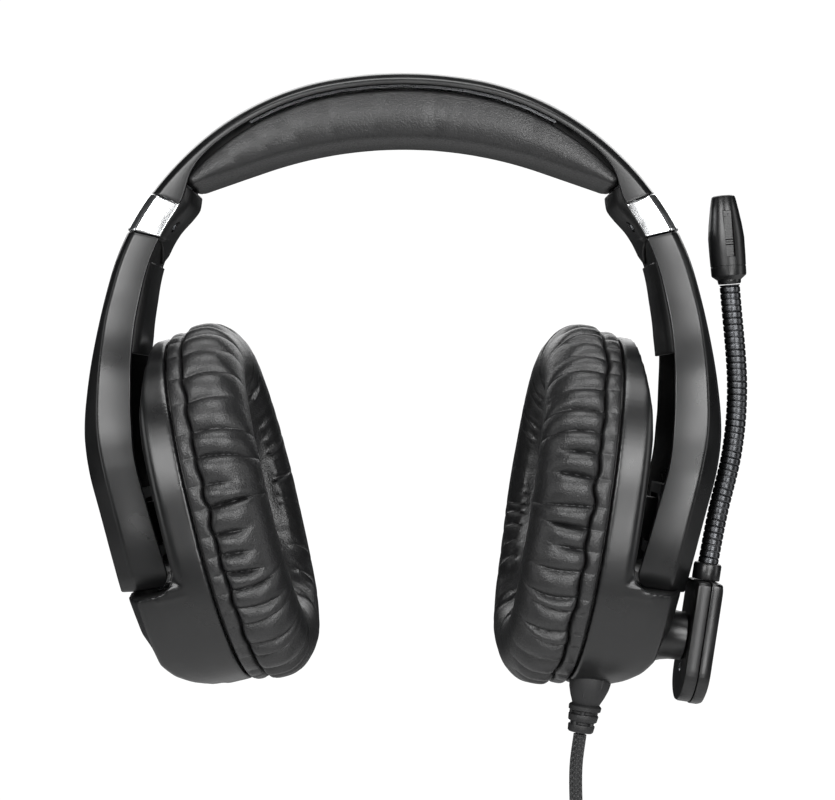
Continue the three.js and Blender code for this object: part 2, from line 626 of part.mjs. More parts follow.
// One stretch of gooseneck: its lower end is a ball about the bend's centre, its upper end is flat.
function neckPiece(curve, i) {
  const { radius } = NECK;
  const reach = (radius + GAP) / curve.getLength();
  const from = i / NECK_PIECES;
  const to = i + 1 < NECK_PIECES ? (i + 1) / NECK_PIECES - reach : 1;
  const first = curve.getPointAt(from);
  const along = curve.getTangentAt(from);
  const rings = [];
  const ring = (centre, tangent, r) => {
    const across = new THREE.Vector3(0, 1, 0);
    const up = new THREE.Vector3().crossVectors(tangent, across).normalize();
    rings.push(Array.from({ length: 10 }, (_, k) => {
      const a = (2 * Math.PI * k) / 10;
      return centre.clone().addScaledVector(across, r * Math.cos(a)).addScaledVector(up, r * Math.sin(a));
    }));
  };
  if (i > 0) {
    for (const lift of [78, 50, 25]) {
      const a = THREE.MathUtils.degToRad(lift);
      ring(first.clone().addScaledVector(along, -radius * Math.sin(a)), along, radius * Math.cos(a));
    }
  }
  for (const t of stations(from, to, (to - from) / 4)) {
    ring(curve.getPointAt(t), curve.getTangentAt(t), radius);
  }
  const corner = (k) => new THREE.Vector2(Math.cos(0.2 * Math.PI * k), Math.sin(0.2 * Math.PI * k));
  return loft(rings, rings[0].map((_, k) => corner(k)));
}

function micParts(curve) {
  const tip = curve.getPointAt(1);
  const along = curve.getTangentAt(1);
  const turn = new THREE.Quaternion().setFromUnitVectors(new THREE.Vector3(0, 1, 0), along);
  const put = (geometry) => geometry.applyQuaternion(turn)
    .translate(tip.x + along.x * GAP, tip.y, tip.z + along.z * GAP);
  const outer = lathe([[0, 0], ...MIC.profile.map(([h, r]) => [r, h]), [0, MIC.length]], 16);
  const hollow = lathe([[0, 4], [3.7, 4], [3.7, 15], [2.2, 24], [0, 24]], 12);
  const slot = box([-1.5, 1.5], [8, 22.4], [2, 8]);
  const housing = cut(outer, hollow, slot);
  const insert = box([-1.1, 1.1], [8.4, 22], [2.4, 3.4]);
  return [
    named("mic_housing", "shell", put(housing)),
    named("mic_insert", "plastic", put(insert)),
    named("mic_capsule", "steel", put(lathe([[0, 8], [2, 8], [2, 11], [0, 11]], 14).translate(0, 0, -1))),
  ];
}

// ---------------------------------------------------------------- cable

function strainRelief() {
  const { x, y, top, bottom } = RELIEF;
  const rings = [[top, 6.6], [-55, 6.4], [-58, 5], [-60, 4.3], [-61, 4.9], [-63, 4.7], [-63.6, 3.9], [-64.4, 3.9],
    [-65, 4.5], [-67, 4.2], [-67.6, 3.5], [-68.2, 3.5], [bottom, 3.8]];
  return cut(lathe(rings.map(([h, r]) => [r, h]).concat([[0, bottom]]).reverse().concat([[0, top]]), 16)
    .rotateX(Math.PI / 2).scale(1, 0.9, 1).translate(x, y, 0), cupOutside(GAP), box([-20, 0.35], [-40, 40], [-54.5, 0]));
}

function hankShape(radius, run) {
  const shape = new THREE.Shape();
  shape.absarc(0, 0, radius, 0, Math.PI, false);
  shape.absarc(0, -run, radius, Math.PI, 2 * Math.PI, false);
  return shape;
}

function cableParts() {
  const { x, y, top, run, outer } = HANK;
  const hank = new THREE.ExtrudeGeometry(hankShape(outer, run),
    { depth: y[1] - y[0], curveSegments: 10, bevelEnabled: false }).rotateX(Math.PI / 2).translate(x, y[1], top);
  const around = (grow) => box([x - outer - grow, x + outer + grow], [y[0] - grow, y[1] + grow],
    [TIE.z - TIE.height / 2 - (grow > GAP ? 0 : 1), TIE.z + TIE.height / 2 + (grow > GAP ? 0 : 1)]);
  return [
    named("cable_lead", "braid", tube(LEAD, CORD_RADIUS, 8, 18)),
    named("cable_hank", "braid", hank),
    named("cable_tie", "rubber", cut(around(GAP + TIE.thickness), around(GAP))),
    named("cable_tail", "braid", tube(TAIL, CORD_RADIUS, 8, 8)),
    ...remoteParts(),
    named("cable_end", "braid", tube([[REMOTE.x, REMOTE.y, REMOTE.top - REMOTE.length - GAP],
      [REMOTE.x, REMOTE.y, PLUG_TOP + GAP]], CORD_RADIUS, 8, 3)),
    named("plug_body", "rubber", lathe([[0, -22], [4, -22], [4.4, -20], [4.4, -8], [2.8, 0], [0, 0]], 16)
      .rotateX(Math.PI / 2).translate(REMOTE.x, REMOTE.y, PLUG_TOP)),
    named("plug_contacts", "gold", lathe([[0, -14], [1, -13.6], [1.75, -12], [1.3, -10.8], [1.75, -10], [1.75, 0],
      [0, 0]], 12).rotateX(Math.PI / 2).translate(REMOTE.x, REMOTE.y, PLUG_TOP - 22 - GAP)),
  ];
}

function remoteParts() {
  const { x, y, top, length, width, depth, wall } = REMOTE;
  const bottom = top - length;
  const half = (from, to, open) => {
    const inner = open > 0 ? [from + wall, to + 1] : [from - 1, to - wall];
    return cut(box([x - width / 2, x + width / 2], [from, to], [bottom, top]),
      box([x - width / 2 + wall, x + width / 2 - wall], inner, [bottom + wall, top - wall]),
      box([x + width / 2 - 4, x + width / 2 + 2], [y - 2.2, y + 2.2], [WHEEL.z - 7.5, WHEEL.z + 7.5]));
  };
  const slot = box([x - MUTE.width / 2 - 0.6, x + MUTE.width / 2 + 0.6], [y + depth / 2 - 3, y + depth / 2 + 3],
    [MUTE.z - MUTE.length / 2 - MUTE.travel / 2 - 0.4, MUTE.z + MUTE.length / 2 + MUTE.travel / 2 + 0.4]);
  const wheel = rod([WHEEL.x, y - WHEEL.thickness / 2, WHEEL.z], [WHEEL.x, y + WHEEL.thickness / 2, WHEEL.z],
    WHEEL.radius, undefined, 24);
  return [
    named("remote_front", "plastic", half(y - depth / 2, y - GAP / 2, 1)),
    named("remote_back", "plastic", cut(half(y + GAP / 2, y + depth / 2, -1), slot)),
    named("remote_board", "board", box([x - 7, x + 7], [y + 2, y + 2.8], [bottom + 3, top - 3])),
    named("volume_wheel", "rubber", wheel),
    named("mute_switch", "plastic", box([x - MUTE.width / 2, x + MUTE.width / 2],
      [y + 3.1, y + depth / 2 + 1.2], [MUTE.z - MUTE.length / 2, MUTE.z + MUTE.length / 2])),
  ];
}

// ---------------------------------------------------------------- assembly

const headset = new THREE.Group();
headset.add(...headbandParts());
const left = sideParts("left");
const right = sideParts("right");
right.cup.add(named("strain_relief", "rubber", strainRelief()));
boomParts(right.cup);
headset.add(left.group, right.group, ...cableParts());

export default headset;
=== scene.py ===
"""The looks of the gaming headset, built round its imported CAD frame. Lengths here are millimetres; MM turns
them into Blender's metres."""
import json
import math
import random

import bmesh
import bpy
import numpy as np
from mathutils import Matrix, Vector


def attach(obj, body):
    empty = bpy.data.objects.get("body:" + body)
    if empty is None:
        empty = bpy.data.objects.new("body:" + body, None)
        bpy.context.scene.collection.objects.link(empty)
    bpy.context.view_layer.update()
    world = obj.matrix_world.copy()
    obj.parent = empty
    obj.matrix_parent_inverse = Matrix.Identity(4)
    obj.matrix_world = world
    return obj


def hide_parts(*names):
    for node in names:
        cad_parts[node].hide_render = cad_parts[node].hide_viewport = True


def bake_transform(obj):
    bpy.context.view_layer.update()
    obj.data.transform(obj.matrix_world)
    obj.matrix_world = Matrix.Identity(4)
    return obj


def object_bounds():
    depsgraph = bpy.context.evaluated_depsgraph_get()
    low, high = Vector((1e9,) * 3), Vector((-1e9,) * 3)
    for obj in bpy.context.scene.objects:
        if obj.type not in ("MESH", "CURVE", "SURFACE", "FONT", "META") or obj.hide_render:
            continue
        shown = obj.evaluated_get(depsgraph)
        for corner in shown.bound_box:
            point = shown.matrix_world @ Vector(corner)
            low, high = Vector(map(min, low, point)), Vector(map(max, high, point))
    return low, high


MM = 0.001
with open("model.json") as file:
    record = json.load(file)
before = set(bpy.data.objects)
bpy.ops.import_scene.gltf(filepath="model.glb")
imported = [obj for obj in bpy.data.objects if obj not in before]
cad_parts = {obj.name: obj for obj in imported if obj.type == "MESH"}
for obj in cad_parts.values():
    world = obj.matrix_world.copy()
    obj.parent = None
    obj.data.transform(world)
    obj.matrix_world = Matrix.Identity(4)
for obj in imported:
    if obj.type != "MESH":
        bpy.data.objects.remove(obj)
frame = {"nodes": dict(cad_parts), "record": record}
CAD_BOX = [list(map(float, corner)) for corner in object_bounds()]
SCENE = bpy.context.scene
JOINTS = {joint["name"]: joint for joint in frame["record"]["behaviour"]["joints"]}
MOUNTS = {mount["name"]: mount for mount in frame["record"]["mounts"]}

# ---------------------------------------------------------------- dimensions shared with the CAD model

EDGE_TOP = 20.67
EDGE_ARCS = [(124, 10.1), (82.6, 29.6), (95.6, 14.9), (75.6, 20), (216.5, 10.5), (76.8, 18.8)]
SHELL_END = 87.2
TRIM = (87.5, 100.4)
ARM = (100.8, 213.2)
COVER = (101.6, 137.5)
COVER_STEP = 109
GUIDE = (80.6, 108.4)
FACE_HEIGHT = [(0, 3.2), (66, 3.3), (72, 3.9), (76, 4.9), (82, 7.4), (87.5, 9.1), (100.4, 9.4), (115, 9.8),
               (128, 10.4), (139, 11.6), (148, 13), (162, 14.6), (180, 14.9), (200, 15.5), (215, 16.2)]
FACE_SHEAR = [(0, 0), (74, 0), (82, 15), (100, 14), (114, 7), (130, 0), (195, 0), (215, -6)]
HALF_WIDTH = [(0, 18), (100, 17.8), (118, 18.5), (132, 20.5), (145, 24), (165, 26.5), (178, 27), (198, 25.5),
              (215, 22.5)]
CHAMFER = [(0, 0.3), (128, 0.3), (175, 3.9), (215, 3.9)]
CROWN = [(0, 2), (165, 2), (195, 0.5), (215, 0.5)]
WALL = 1.8
PAD_ARC, PAD_SLOPE = 131, math.radians(19)
PIVOT_OUT = 19
CUP_HEIGHT, CUP_WIDTH, CUP_POWER, CUP_BACK, CUP_DEPTH = 53.7, 43, 2.3, -2.3, 7.9
NOTCH_FLOOR, NOTCH_RADIUS = -20.3, 6
CHIN = [(28, -20.6), (27, -31.5), (24, -39.6), (21.9, -43.9), (20.6, -46), (17, -49.3), (12, -52)]
CHIN_FACE = 19.8
LIP_TOP = -18.9
BOOM_Y, BOOM_Z, BOOM_INNER, BOOM_SPLIT, BOOM_OUTER = -10, -34, 31.2, 35.2, 39.2
BOOM_HALF, BOOM_TOP, BOOM_BOTTOM = 10.5, -16, -54
NECK = [(35.1, -11), (35.7, 4.5), (37.2, 24.5), (35.8, 43.5), (28.7, 74.3)]
NECK_RADIUS = 3.1
CORD_RADIUS = 2
LEAD = [(53.8, -13.8, -179.6), (52.6, -13.7, -189), (52.6, -13.5, -200), (53.2, -12.8, -207),
        (56.3, -11.2, -212.5), (60.2, -9.4, -217), (62, -8.4, -220.2)]
HANK_X, HANK_TOP, HANK_RUN, HANK_BEND = 51, -233, 66, 12
TAIL = [(59.4, 14.9, -241), (57.6, 17.4, -247), (53.6, 19.8, -253), (51.2, 20.4, -258), (51, 20.4, -260.7)]
REMOTE_Y, REMOTE_TOP, REMOTE_LENGTH, REMOTE_WIDTH, REMOTE_DEPTH = 20.4, -261, 55, 18, 10.6
PLUG_TOP = -327

# ---------------------------------------------------------------- camera, light and stage


def camera():
    data = bpy.data.cameras.new("camera")
    data.lens = 97.35
    data.sensor_width = 36
    data.clip_end = 20
    obj = bpy.data.objects.new("camera", data)
    SCENE.collection.objects.link(obj)
    obj.location = (4.4 * MM, -700 * MM, -78.1 * MM)
    obj.rotation_euler = (math.pi / 2, 0, 0)
    SCENE.camera = obj


def softbox(name, place, target, size, radiance):
    """A rectangular light of the given size in metres and brightness, out of the camera's sight."""
    data = bpy.data.lights.new(name, "AREA")
    data.shape = "RECTANGLE"
    data.size, data.size_y = size
    data.energy = radiance * math.pi * size[0] * size[1]
    obj = bpy.data.objects.new(name, data)
    SCENE.collection.objects.link(obj)
    obj.location = place
    obj.rotation_euler = (Vector(target) - Vector(place)).to_track_quat("-Z", "Y").to_euler()
    obj.visible_camera = False


def studio():
    """White surroundings for the camera, a dim sky for light and reflections, and soft boxes either side."""
    world = bpy.data.worlds.new("studio")
    SCENE.world = world
    world.use_nodes = True
    nodes, links = world.node_tree.nodes, world.node_tree.links
    nodes.clear()
    out = nodes.new("ShaderNodeOutputWorld")
    mix = nodes.new("ShaderNodeMixShader")
    path = nodes.new("ShaderNodeLightPath")
    seen = nodes.new("ShaderNodeBackground")
    sky = nodes.new("ShaderNodeBackground")
    seen.inputs["Color"].default_value = (1, 1, 1, 1)
    seen.inputs["Strength"].default_value = 1.05
    sky.inputs["Color"].default_value = (0.92, 0.96, 1, 1)
    sky.inputs["Strength"].default_value = 0.03
    links.new(path.outputs["Is Camera Ray"], mix.inputs["Fac"])
    links.new(sky.outputs[0], mix.inputs[1])
    links.new(seen.outputs[0], mix.inputs[2])
    links.new(mix.outputs[0], out.inputs["Surface"])
    for end in (-1, 1):
        softbox(f"front_{end}", (end * 0.36, -0.78, 0.17), (end * 0.05, 0, -0.02), (0.46, 0.36), 10.0)
        softbox(f"low_{end}", (end * 0.15, -0.76, -0.25), (end * 0.08, 0, -0.12), (0.12, 0.08), 9.0)
        softbox(f"side_{end}", (end * 1.0, -0.2, 0.0), (end * 0.08, 0, -0.08), (0.3, 0.8), 2.4)
    softbox("boom", (0.27, -0.74, -0.21), (0.09, 0, -0.13), (0.2, 0.16), 12.0)
    softbox("top", (0, -0.35, 0.9), (0, 0, -0.02), (0.9, 0.4), 8.0)
    softbox("back", (0, 1.0, 0.5), (0, 0, -0.08), (1.2, 0.8), 2.2)
    SCENE.view_settings.view_transform = "Standard"
    SCENE.view_settings.look = "None"


def floor():
    mesh = bpy.data.meshes.new("floor")
    span = 2.1
    mesh.from_pydata([(-span, -span, 0), (span, -span, 0), (span, span, 0), (-span, span, 0)], [],
                     [(0, 1, 2, 3)])
    obj = bpy.data.objects.new("floor", mesh)
    SCENE.collection.objects.link(obj)
    obj.location.z = CAD_BOX[0][2] - 0.25
    paint = bpy.data.materials.new("floor")
    paint.use_nodes = True
    shader = paint.node_tree.nodes["Principled BSDF"]
    shader.inputs["Base Color"].default_value = (0.85, 0.85, 0.85, 1)
    shader.inputs["Roughness"].default_value = 0.9
    mesh.materials.append(paint)


# ---------------------------------------------------------------- materials


class Paint:
    """A small node builder round one Principled shader."""

    def __init__(self, name, color, roughness, metallic=0.0, **sockets):
        self.material = bpy.data.materials.new(name)
        self.material.use_nodes = True
        self.nodes = self.material.node_tree.nodes
        self.links = self.material.node_tree.links
        self.shader = self.nodes["Principled BSDF"]
        self.color, self.roughness = color, roughness
        self.shader.inputs["Base Color"].default_value = (*color, 1)
        self.shader.inputs["Roughness"].default_value = roughness
        self.shader.inputs["Metallic"].default_value = metallic
        for socket, value in sockets.items():
            self.shader.inputs[socket.replace("_", " ")].default_value = value
        self.height = None
        coordinates = self.nodes.new("ShaderNodeTexCoord")
        self.place = coordinates.outputs["Object"]

    def new(self, kind, **inputs):
        node = self.nodes.new(kind)
        for socket, value in inputs.items():
            target = node.inputs[socket.replace("_", " ")]
            if isinstance(value, bpy.types.NodeSocket):
                self.links.new(value, target)
            else:
                target.default_value = value
        return node

    def noise(self, size, detail=3.0, roughness=0.5):
        """Noise with features of about size millimetres."""
        node = self.new("ShaderNodeTexNoise", Vector=self.place, Scale=1 / (size * MM), Detail=detail,
                        Roughness=roughness)
        return node.outputs["Fac"]

    def cells(self, size, feature="F1", randomness=1.0):
        node = self.nodes.new("ShaderNodeTexVoronoi")
        node.feature = feature
        self.links.new(self.place, node.inputs["Vector"])
        node.inputs["Scale"].default_value = 1 / (size * MM)
        node.inputs["Randomness"].default_value = randomness
        return node.outputs["Distance"]

    def math(self, operation, a, b=0.0):
        node = self.nodes.new("ShaderNodeMath")
        node.operation = operation
        for i, value in enumerate((a, b)):
            if isinstance(value, bpy.types.NodeSocket):
                self.links.new(value, node.inputs[i])
            else:
                node.inputs[i].default_value = value
        return node.outputs[0]

    def remap(self, value, low, high, to_low, to_high):
        node = self.new("ShaderNodeMapRange", Value=value)
        for socket, number in (("From Min", low), ("From Max", high), ("To Min", to_low),
                               ("To Max", to_high)):
            node.inputs[socket].default_value = number
        return node.outputs["Result"]

    def vary_color(self, value, low, high, dark=0.8, light=1.2):
        ramp = self.nodes.new("ShaderNodeValToRGB")
        ramp.color_ramp.elements[0].position = low
        ramp.color_ramp.elements[1].position = high
        ramp.color_ramp.elements[0].color = (*[c * dark for c in self.color], 1)
        ramp.color_ramp.elements[1].color = (*[c * light for c in self.color], 1)
        self.links.new(value, ramp.inputs["Fac"])
        self.links.new(ramp.outputs["Color"], self.shader.inputs["Base Color"])

    def vary_roughness(self, value, low, high, smooth, rough):
        self.links.new(self.remap(value, low, high, smooth, rough), self.shader.inputs["Roughness"])

    def bump(self, value, depth, strength=1.0):
        """Adds relief of about depth millimetres."""
        node = self.new("ShaderNodeBump", Height=value, Distance=depth * MM, Strength=strength)
        if self.height is not None:
            self.links.new(self.height, node.inputs["Normal"])
        self.height = node.outputs["Normal"]
        self.links.new(self.height, self.shader.inputs["Normal"])


def satin_plastic(name, color, roughness, grain=0.006, worn=0.06):
    """Moulded plastic: a spark-eroded fine grain, slight mottling of the gloss and paler worn edges."""
    paint = Paint(name, color, roughness)
    mottle = paint.noise(14, 4)
    paint.vary_roughness(mottle, 0.3, 0.7, roughness - 0.04, roughness + 0.05)
    geometry = paint.new("ShaderNodeNewGeometry")
    edge = paint.remap(geometry.outputs["Pointiness"], 0.5, 0.62, 0, worn)
    tone = paint.math("ADD", paint.remap(mottle, 0.2, 0.8, 0, 0.35), edge)
    paint.vary_color(tone, 0, 1, 0.9, 1.8)
    paint.bump(paint.noise(0.16, 2), grain)
    return paint.material


def chrome():
    paint = Paint("chrome", (0.84, 0.85, 0.86), 0.2, 1.0)
    paint.vary_roughness(paint.noise(3, 4), 0.3, 0.75, 0.17, 0.24)
    paint.vary_color(paint.noise(9, 2), 0.3, 0.7, 0.96, 1.03)
    paint.bump(paint.noise(6, 1), 0.004)
    return paint.material


def leatherette(name, color, roughness=0.35, grain=0.05):
    """Soft protein leather: pebbled grain between fine creases, shinier on its high spots."""
    paint = Paint(name, color, roughness, Coat_Weight=0.12, Coat_Roughness=0.35)
    pebble = paint.cells(0.55)
    crease = paint.cells(1.3, "DISTANCE_TO_EDGE")
    patch = paint.noise(9, 3)
    paint.vary_roughness(pebble, 0.1, 0.8, roughness - 0.05, roughness + 0.16)
    paint.vary_color(patch, 0.3, 0.7, 0.85, 1.25)
    paint.bump(paint.remap(crease, 0, 0.16, 0, 1), grain * 0.5)
    paint.bump(paint.remap(pebble, 0, 0.7, 1, 0), grain)
    paint.bump(paint.noise(3.2, 2), 0.16)
    return paint.material


def brushed(name, color, roughness, grain=0.004):
    paint = Paint(name, color, roughness, 1.0)
    streak = paint.noise(0.5, 4)
    paint.vary_roughness(streak, 0.3, 0.7, roughness - 0.06, roughness + 0.08)
    paint.vary_color(paint.noise(5, 3), 0.3, 0.7, 0.85, 1.15)
    paint.bump(streak, grain)
    return paint.material


def rubber(name, color, roughness=0.55):
    paint = Paint(name, color, roughness)
    fine = paint.noise(0.3, 3)
    paint.vary_roughness(fine, 0.3, 0.7, roughness - 0.06, roughness + 0.1)
    paint.vary_color(paint.noise(6, 3), 0.3, 0.7, 0.85, 1.3)
    paint.bump(fine, 0.012)
    return paint.material


def woven(name, color, size, depth, roughness=0.8):
    """Threads crossing at right angles, from the piece's own UV lengths in millimetres."""
    paint = Paint(name, color, roughness, Sheen_Weight=0.1)
    uv = paint.nodes.new("ShaderNodeTexCoord").outputs["UV"]
    split = paint.new("ShaderNodeSeparateXYZ", Vector=uv)
    a = paint.math("ADD", split.outputs["X"], split.outputs["Y"])
    b = paint.math("SUBTRACT", split.outputs["X"], split.outputs["Y"])
    turn = 2 * math.pi / size
    wave = [paint.math("ABSOLUTE", paint.math("SINE", paint.math("MULTIPLY", v, turn / 2))) for v in (a, b)]
    over = paint.math("MULTIPLY", paint.math("SINE", paint.math("MULTIPLY", a, turn / 2)),
                      paint.math("SINE", paint.math("MULTIPLY", b, turn / 2)))
    height = paint.math("MULTIPLY", wave[0], wave[1])
    paint.vary_color(paint.math("ADD", paint.math("MULTIPLY", over, 0.5), 0.5), 0.1, 0.9, 0.55, 1.7)
    paint.bump(height, depth)
    return paint.material


def board_green():
    paint = Paint("board", (0.02, 0.12, 0.05), 0.4)
    paint.vary_color(paint.cells(1.6, "DISTANCE_TO_EDGE"), 0.02, 0.1, 0.6, 1.4)
    paint.bump(paint.cells(1.6), 0.03)
    return paint.material


MATERIALS = {
    "shell": satin_plastic("shell", (0.003, 0.0031, 0.0033), 0.3),
    "plastic": satin_plastic("plastic", (0.0035, 0.0035, 0.0037), 0.36, 0.012),
    "chrome": chrome(),
    "leather": leatherette("leather", (0.0055, 0.0055, 0.0058)),
    "steel": brushed("steel", (0.5, 0.51, 0.53), 0.3),
    "dark_metal": brushed("dark_metal", (0.07, 0.072, 0.076), 0.3),
    "rubber": rubber("rubber", (0.005, 0.005, 0.0055)),
    "braid": woven("braid", (0.006, 0.0063, 0.0066), 2 * math.pi * CORD_RADIUS / 7, 0.4, 0.5),
    "cloth": woven("cloth", (0.008, 0.008, 0.009), 0.9, 0.15, 0.9),
    "gold": brushed("gold", (0.75, 0.56, 0.24), 0.22),
    "board": board_green(),
}

# ---------------------------------------------------------------- mesh helpers


def piece(name, points, faces, material, sharp=40, scale=MM):
    mesh = bpy.data.meshes.new(name)
    mesh.from_pydata((np.asarray(points, float) * scale).tolist(), [], [list(face) for face in faces])
    work = bmesh.new()
    work.from_mesh(mesh)
    bmesh.ops.remove_doubles(work, verts=work.verts, dist=1e-6)
    bmesh.ops.recalc_face_normals(work, faces=work.faces)
    if work.calc_volume(signed=True) < 0:
        bmesh.ops.reverse_faces(work, faces=work.faces)
    work.to_mesh(mesh)
    work.free()
    obj = bpy.data.objects.new(name, mesh)
    SCENE.collection.objects.link(obj)
    mesh.materials.append(MATERIALS[material])
    shade(obj, sharp)
    return obj


def shade(obj, sharp=40):
    obj.data.polygons.foreach_set("use_smooth", [True] * len(obj.data.polygons))
    obj.data.set_sharp_from_angle(angle=math.radians(sharp))


def skin(rings, caps=True, closed=False):
    """Points and faces of a grid over equal rings."""
    rings = np.asarray(rings, float)
    rows, count = rings.shape[:2]
    faces = []
    for i in range(rows if closed else rows - 1):
        for j in range(count):
            a, b = i * count, ((i + 1) % rows) * count
            k = (j + 1) % count
            faces.append((a + j, a + k, b + k, b + j))
    if caps and not closed:
        faces.append(tuple(range(count))[::-1])
        faces.append(tuple(range((rows - 1) * count, rows * count)))
    return rings.reshape(-1, 3), faces


def apply_modifiers(obj):
    graph = bpy.context.evaluated_depsgraph_get()
    mesh = bpy.data.meshes.new_from_object(obj.evaluated_get(graph))
    obj.modifiers.clear()
    obj.data = mesh


def modifier(obj, kind, **values):
    made = obj.modifiers.new(kind.lower(), kind)
    for key, value in values.items():
        setattr(made, key, value)
    return made


def boolean(obj, tools, operation):
    for tool in tools:
        modifier(obj, "BOOLEAN", object=tool, operation=operation, solver="EXACT")
        apply_modifiers(obj)
    for tool in tools:
        bpy.data.objects.remove(tool, do_unlink=True)


def soften(obj, voxel, rounds, factor=0.5):
    """Voxel remesh and smoothing: every edge comes out as a small moulded radius."""
    modifier(obj, "REMESH", mode="VOXEL", voxel_size=voxel * MM)
    modifier(obj, "SMOOTH", factor=factor, iterations=rounds)
    apply_modifiers(obj)
    shade(obj, 80)


def rounded(points, radii, steps=4):
    """A closed outline with each corner swapped for a short curve."""
    points = [np.array(p, float) for p in points]
    out = []
    for i, corner in enumerate(points):
        before, after = points[i - 1], points[(i + 1) % len(points)]
        radius = radii[i] if hasattr(radii, "__len__") else radii
        ends = []
        for other in (before, after):
            way = other - corner
            length = np.linalg.norm(way)
            ends.append(corner + way / max(length, 1e-9) * min(radius, length * 0.45))
        for k in range(steps + 1):
            t = k / steps
            out.append((1 - t) ** 2 * ends[0] + 2 * t * (1 - t) * corner + t * t * ends[1])
    return np.array(out)


def lathe(profile, sides):
    """Rings of a turned shape: profile is [radius, height] from bottom to top along +Z."""
    angles = np.linspace(0, 2 * math.pi, sides, endpoint=False)
    return np.array([[(r * math.cos(a), r * math.sin(a), h) for a in angles] for r, h in profile])


def smooth_line(points, step):
    """Points a step apart along a smooth curve through the given ones, and their directions."""
    points = np.asarray(points, float)
    padded = np.vstack([2 * points[0] - points[1], points, 2 * points[-1] - points[-2]])
    out = []
    for i in range(1, len(padded) - 2):
        p0, p1, p2, p3 = padded[i - 1:i + 3]
        knots = [0.0]
        for a, b in ((p0, p1), (p1, p2), (p2, p3)):
            knots.append(knots[-1] + max(np.linalg.norm(b - a), 1e-6) ** 0.5)
        t0, t1, t2, t3 = knots
        for t in np.linspace(t1, t2, 24, endpoint=False):
            a1 = (t1 - t) / (t1 - t0) * p0 + (t - t0) / (t1 - t0) * p1
            a2 = (t2 - t) / (t2 - t1) * p1 + (t - t1) / (t2 - t1) * p2
            a3 = (t3 - t) / (t3 - t2) * p2 + (t - t2) / (t3 - t2) * p3
            b1 = (t2 - t) / (t2 - t0) * a1 + (t - t0) / (t2 - t0) * a2
            b2 = (t3 - t) / (t3 - t1) * a2 + (t - t1) / (t3 - t1) * a3
            out.append((t2 - t) / (t2 - t1) * b1 + (t - t1) / (t2 - t1) * b2)
    out.append(points[-1])
    out = np.array(out)
    along = np.concatenate([[0], np.cumsum(np.linalg.norm(np.diff(out, axis=0), axis=1))])
    at = np.linspace(0, along[-1], max(2, round(along[-1] / step) + 1))
    return np.column_stack([np.interp(at, along, out[:, i]) for i in range(3)])


# ---------------------------------------------------------------- the edge that band and arm follow


def ramp(pairs, at):
    return float(np.interp(at, [p[0] for p in pairs], [p[1] for p in pairs]))


def smooth_ramp(pairs, at, reach=3.0):
    return sum(ramp(pairs, at + k * reach) for k in (-1, -0.5, 0, 0.5, 1)) / 5


def edge(station):
    """The outer front edge at one station: a point and the direction across the face."""
    side = -1 if station < 0 else 1
    left = abs(station)
    x, z, heading = 0.0, EDGE_TOP, 0.0
    for radius, degrees in EDGE_ARCS:
        turn = min(left / radius, math.radians(degrees))
        x += radius * (math.sin(heading + turn) - math.sin(heading))
        z += radius * (math.cos(heading + turn) - math.cos(heading))
        heading += turn
        left -= turn * radius
    x += max(left, 0) * math.cos(heading)
    z -= max(left, 0) * math.sin(heading)
    across = heading + math.radians(smooth_ramp(FACE_SHEAR, abs(station)))
    return np.array([x * side, 0, z]), np.array([-math.sin(across) * side, 0, -math.cos(across)])


def place(station, section):
    point, across = edge(station)
    return [point + across * depth + np.array([0, y, 0]) for y, depth in section]


def outside(station, proud=0.0):
    s = abs(station)
    width, chamfer = smooth_ramp(HALF_WIDTH, s) + proud, smooth_ramp(CHAMFER, s)
    height, crown = smooth_ramp(FACE_HEIGHT, s), ramp(CROWN, s)
    return [(0, -crown - proud), (width * 0.3, -crown * 0.92 - proud), (width * 0.6, -crown * 0.6 - proud),
            (width - 1.6 - 1.4 * chamfer, -proud), (width, 1.3 + chamfer), (width, height)]


def inside(station):
    s = abs(station)
    width, chamfer, crown = smooth_ramp(HALF_WIDTH, s) - WALL, smooth_ramp(CHAMFER, s), ramp(CROWN, s)
    return [(width, 1.9 + chamfer), (width - 1.8 - 1.2 * chamfer, WALL), (width * 0.55, WALL - crown * 0.5),
            (0, WALL - crown)]


def channel(station, proud=0.0, fill=0.0, trim=0.0):
    """The rounded U section of band, trim and arm; fill closes the hollow, trim lowers the rim."""
    height = smooth_ramp(FACE_HEIGHT, abs(station)) - trim
    outer = outside(station, proud)
    outer[-1] = (outer[-1][0], max(height, outer[-2][1] + 0.3))
    rim = (inside(station)[0][0], outer[-1][1])
    inner = [(y, d + (rim[1] - d) * fill) for y, d in inside(station)]
    half = outer + [rim] + inner
    radii = [3, 3, 3, 0.9, 0.9, 0.45, 0.45, 1, 1, 1, 3]
    other = [(-y, d) for y, d in reversed(half[1:-1])]
    return rounded(half + other, radii + radii[1:-1][::-1], 4)


def spread(start, end, step):
    return np.linspace(start, end, max(2, round(abs(end - start) / step) + 1))


def end_rounding(stations, radius):
    """Stations with extra ones near both ends, and how far each section steps in there."""
    near = [0, 0.12, 0.4, 1.0]
    first = [stations[0] + np.sign(stations[-1] - stations[0]) * radius * n for n in near]
    last = [stations[-1] - np.sign(stations[-1] - stations[0]) * radius * n for n in reversed(near)]
    middle = [s for s in stations if min(abs(s - stations[0]), abs(s - stations[-1])) > radius * 1.3]
    inset = [radius * (1 - math.sqrt(1 - (1 - n) ** 2)) for n in near]
    return first + middle + last, inset + [0] * len(middle) + inset[::-1]


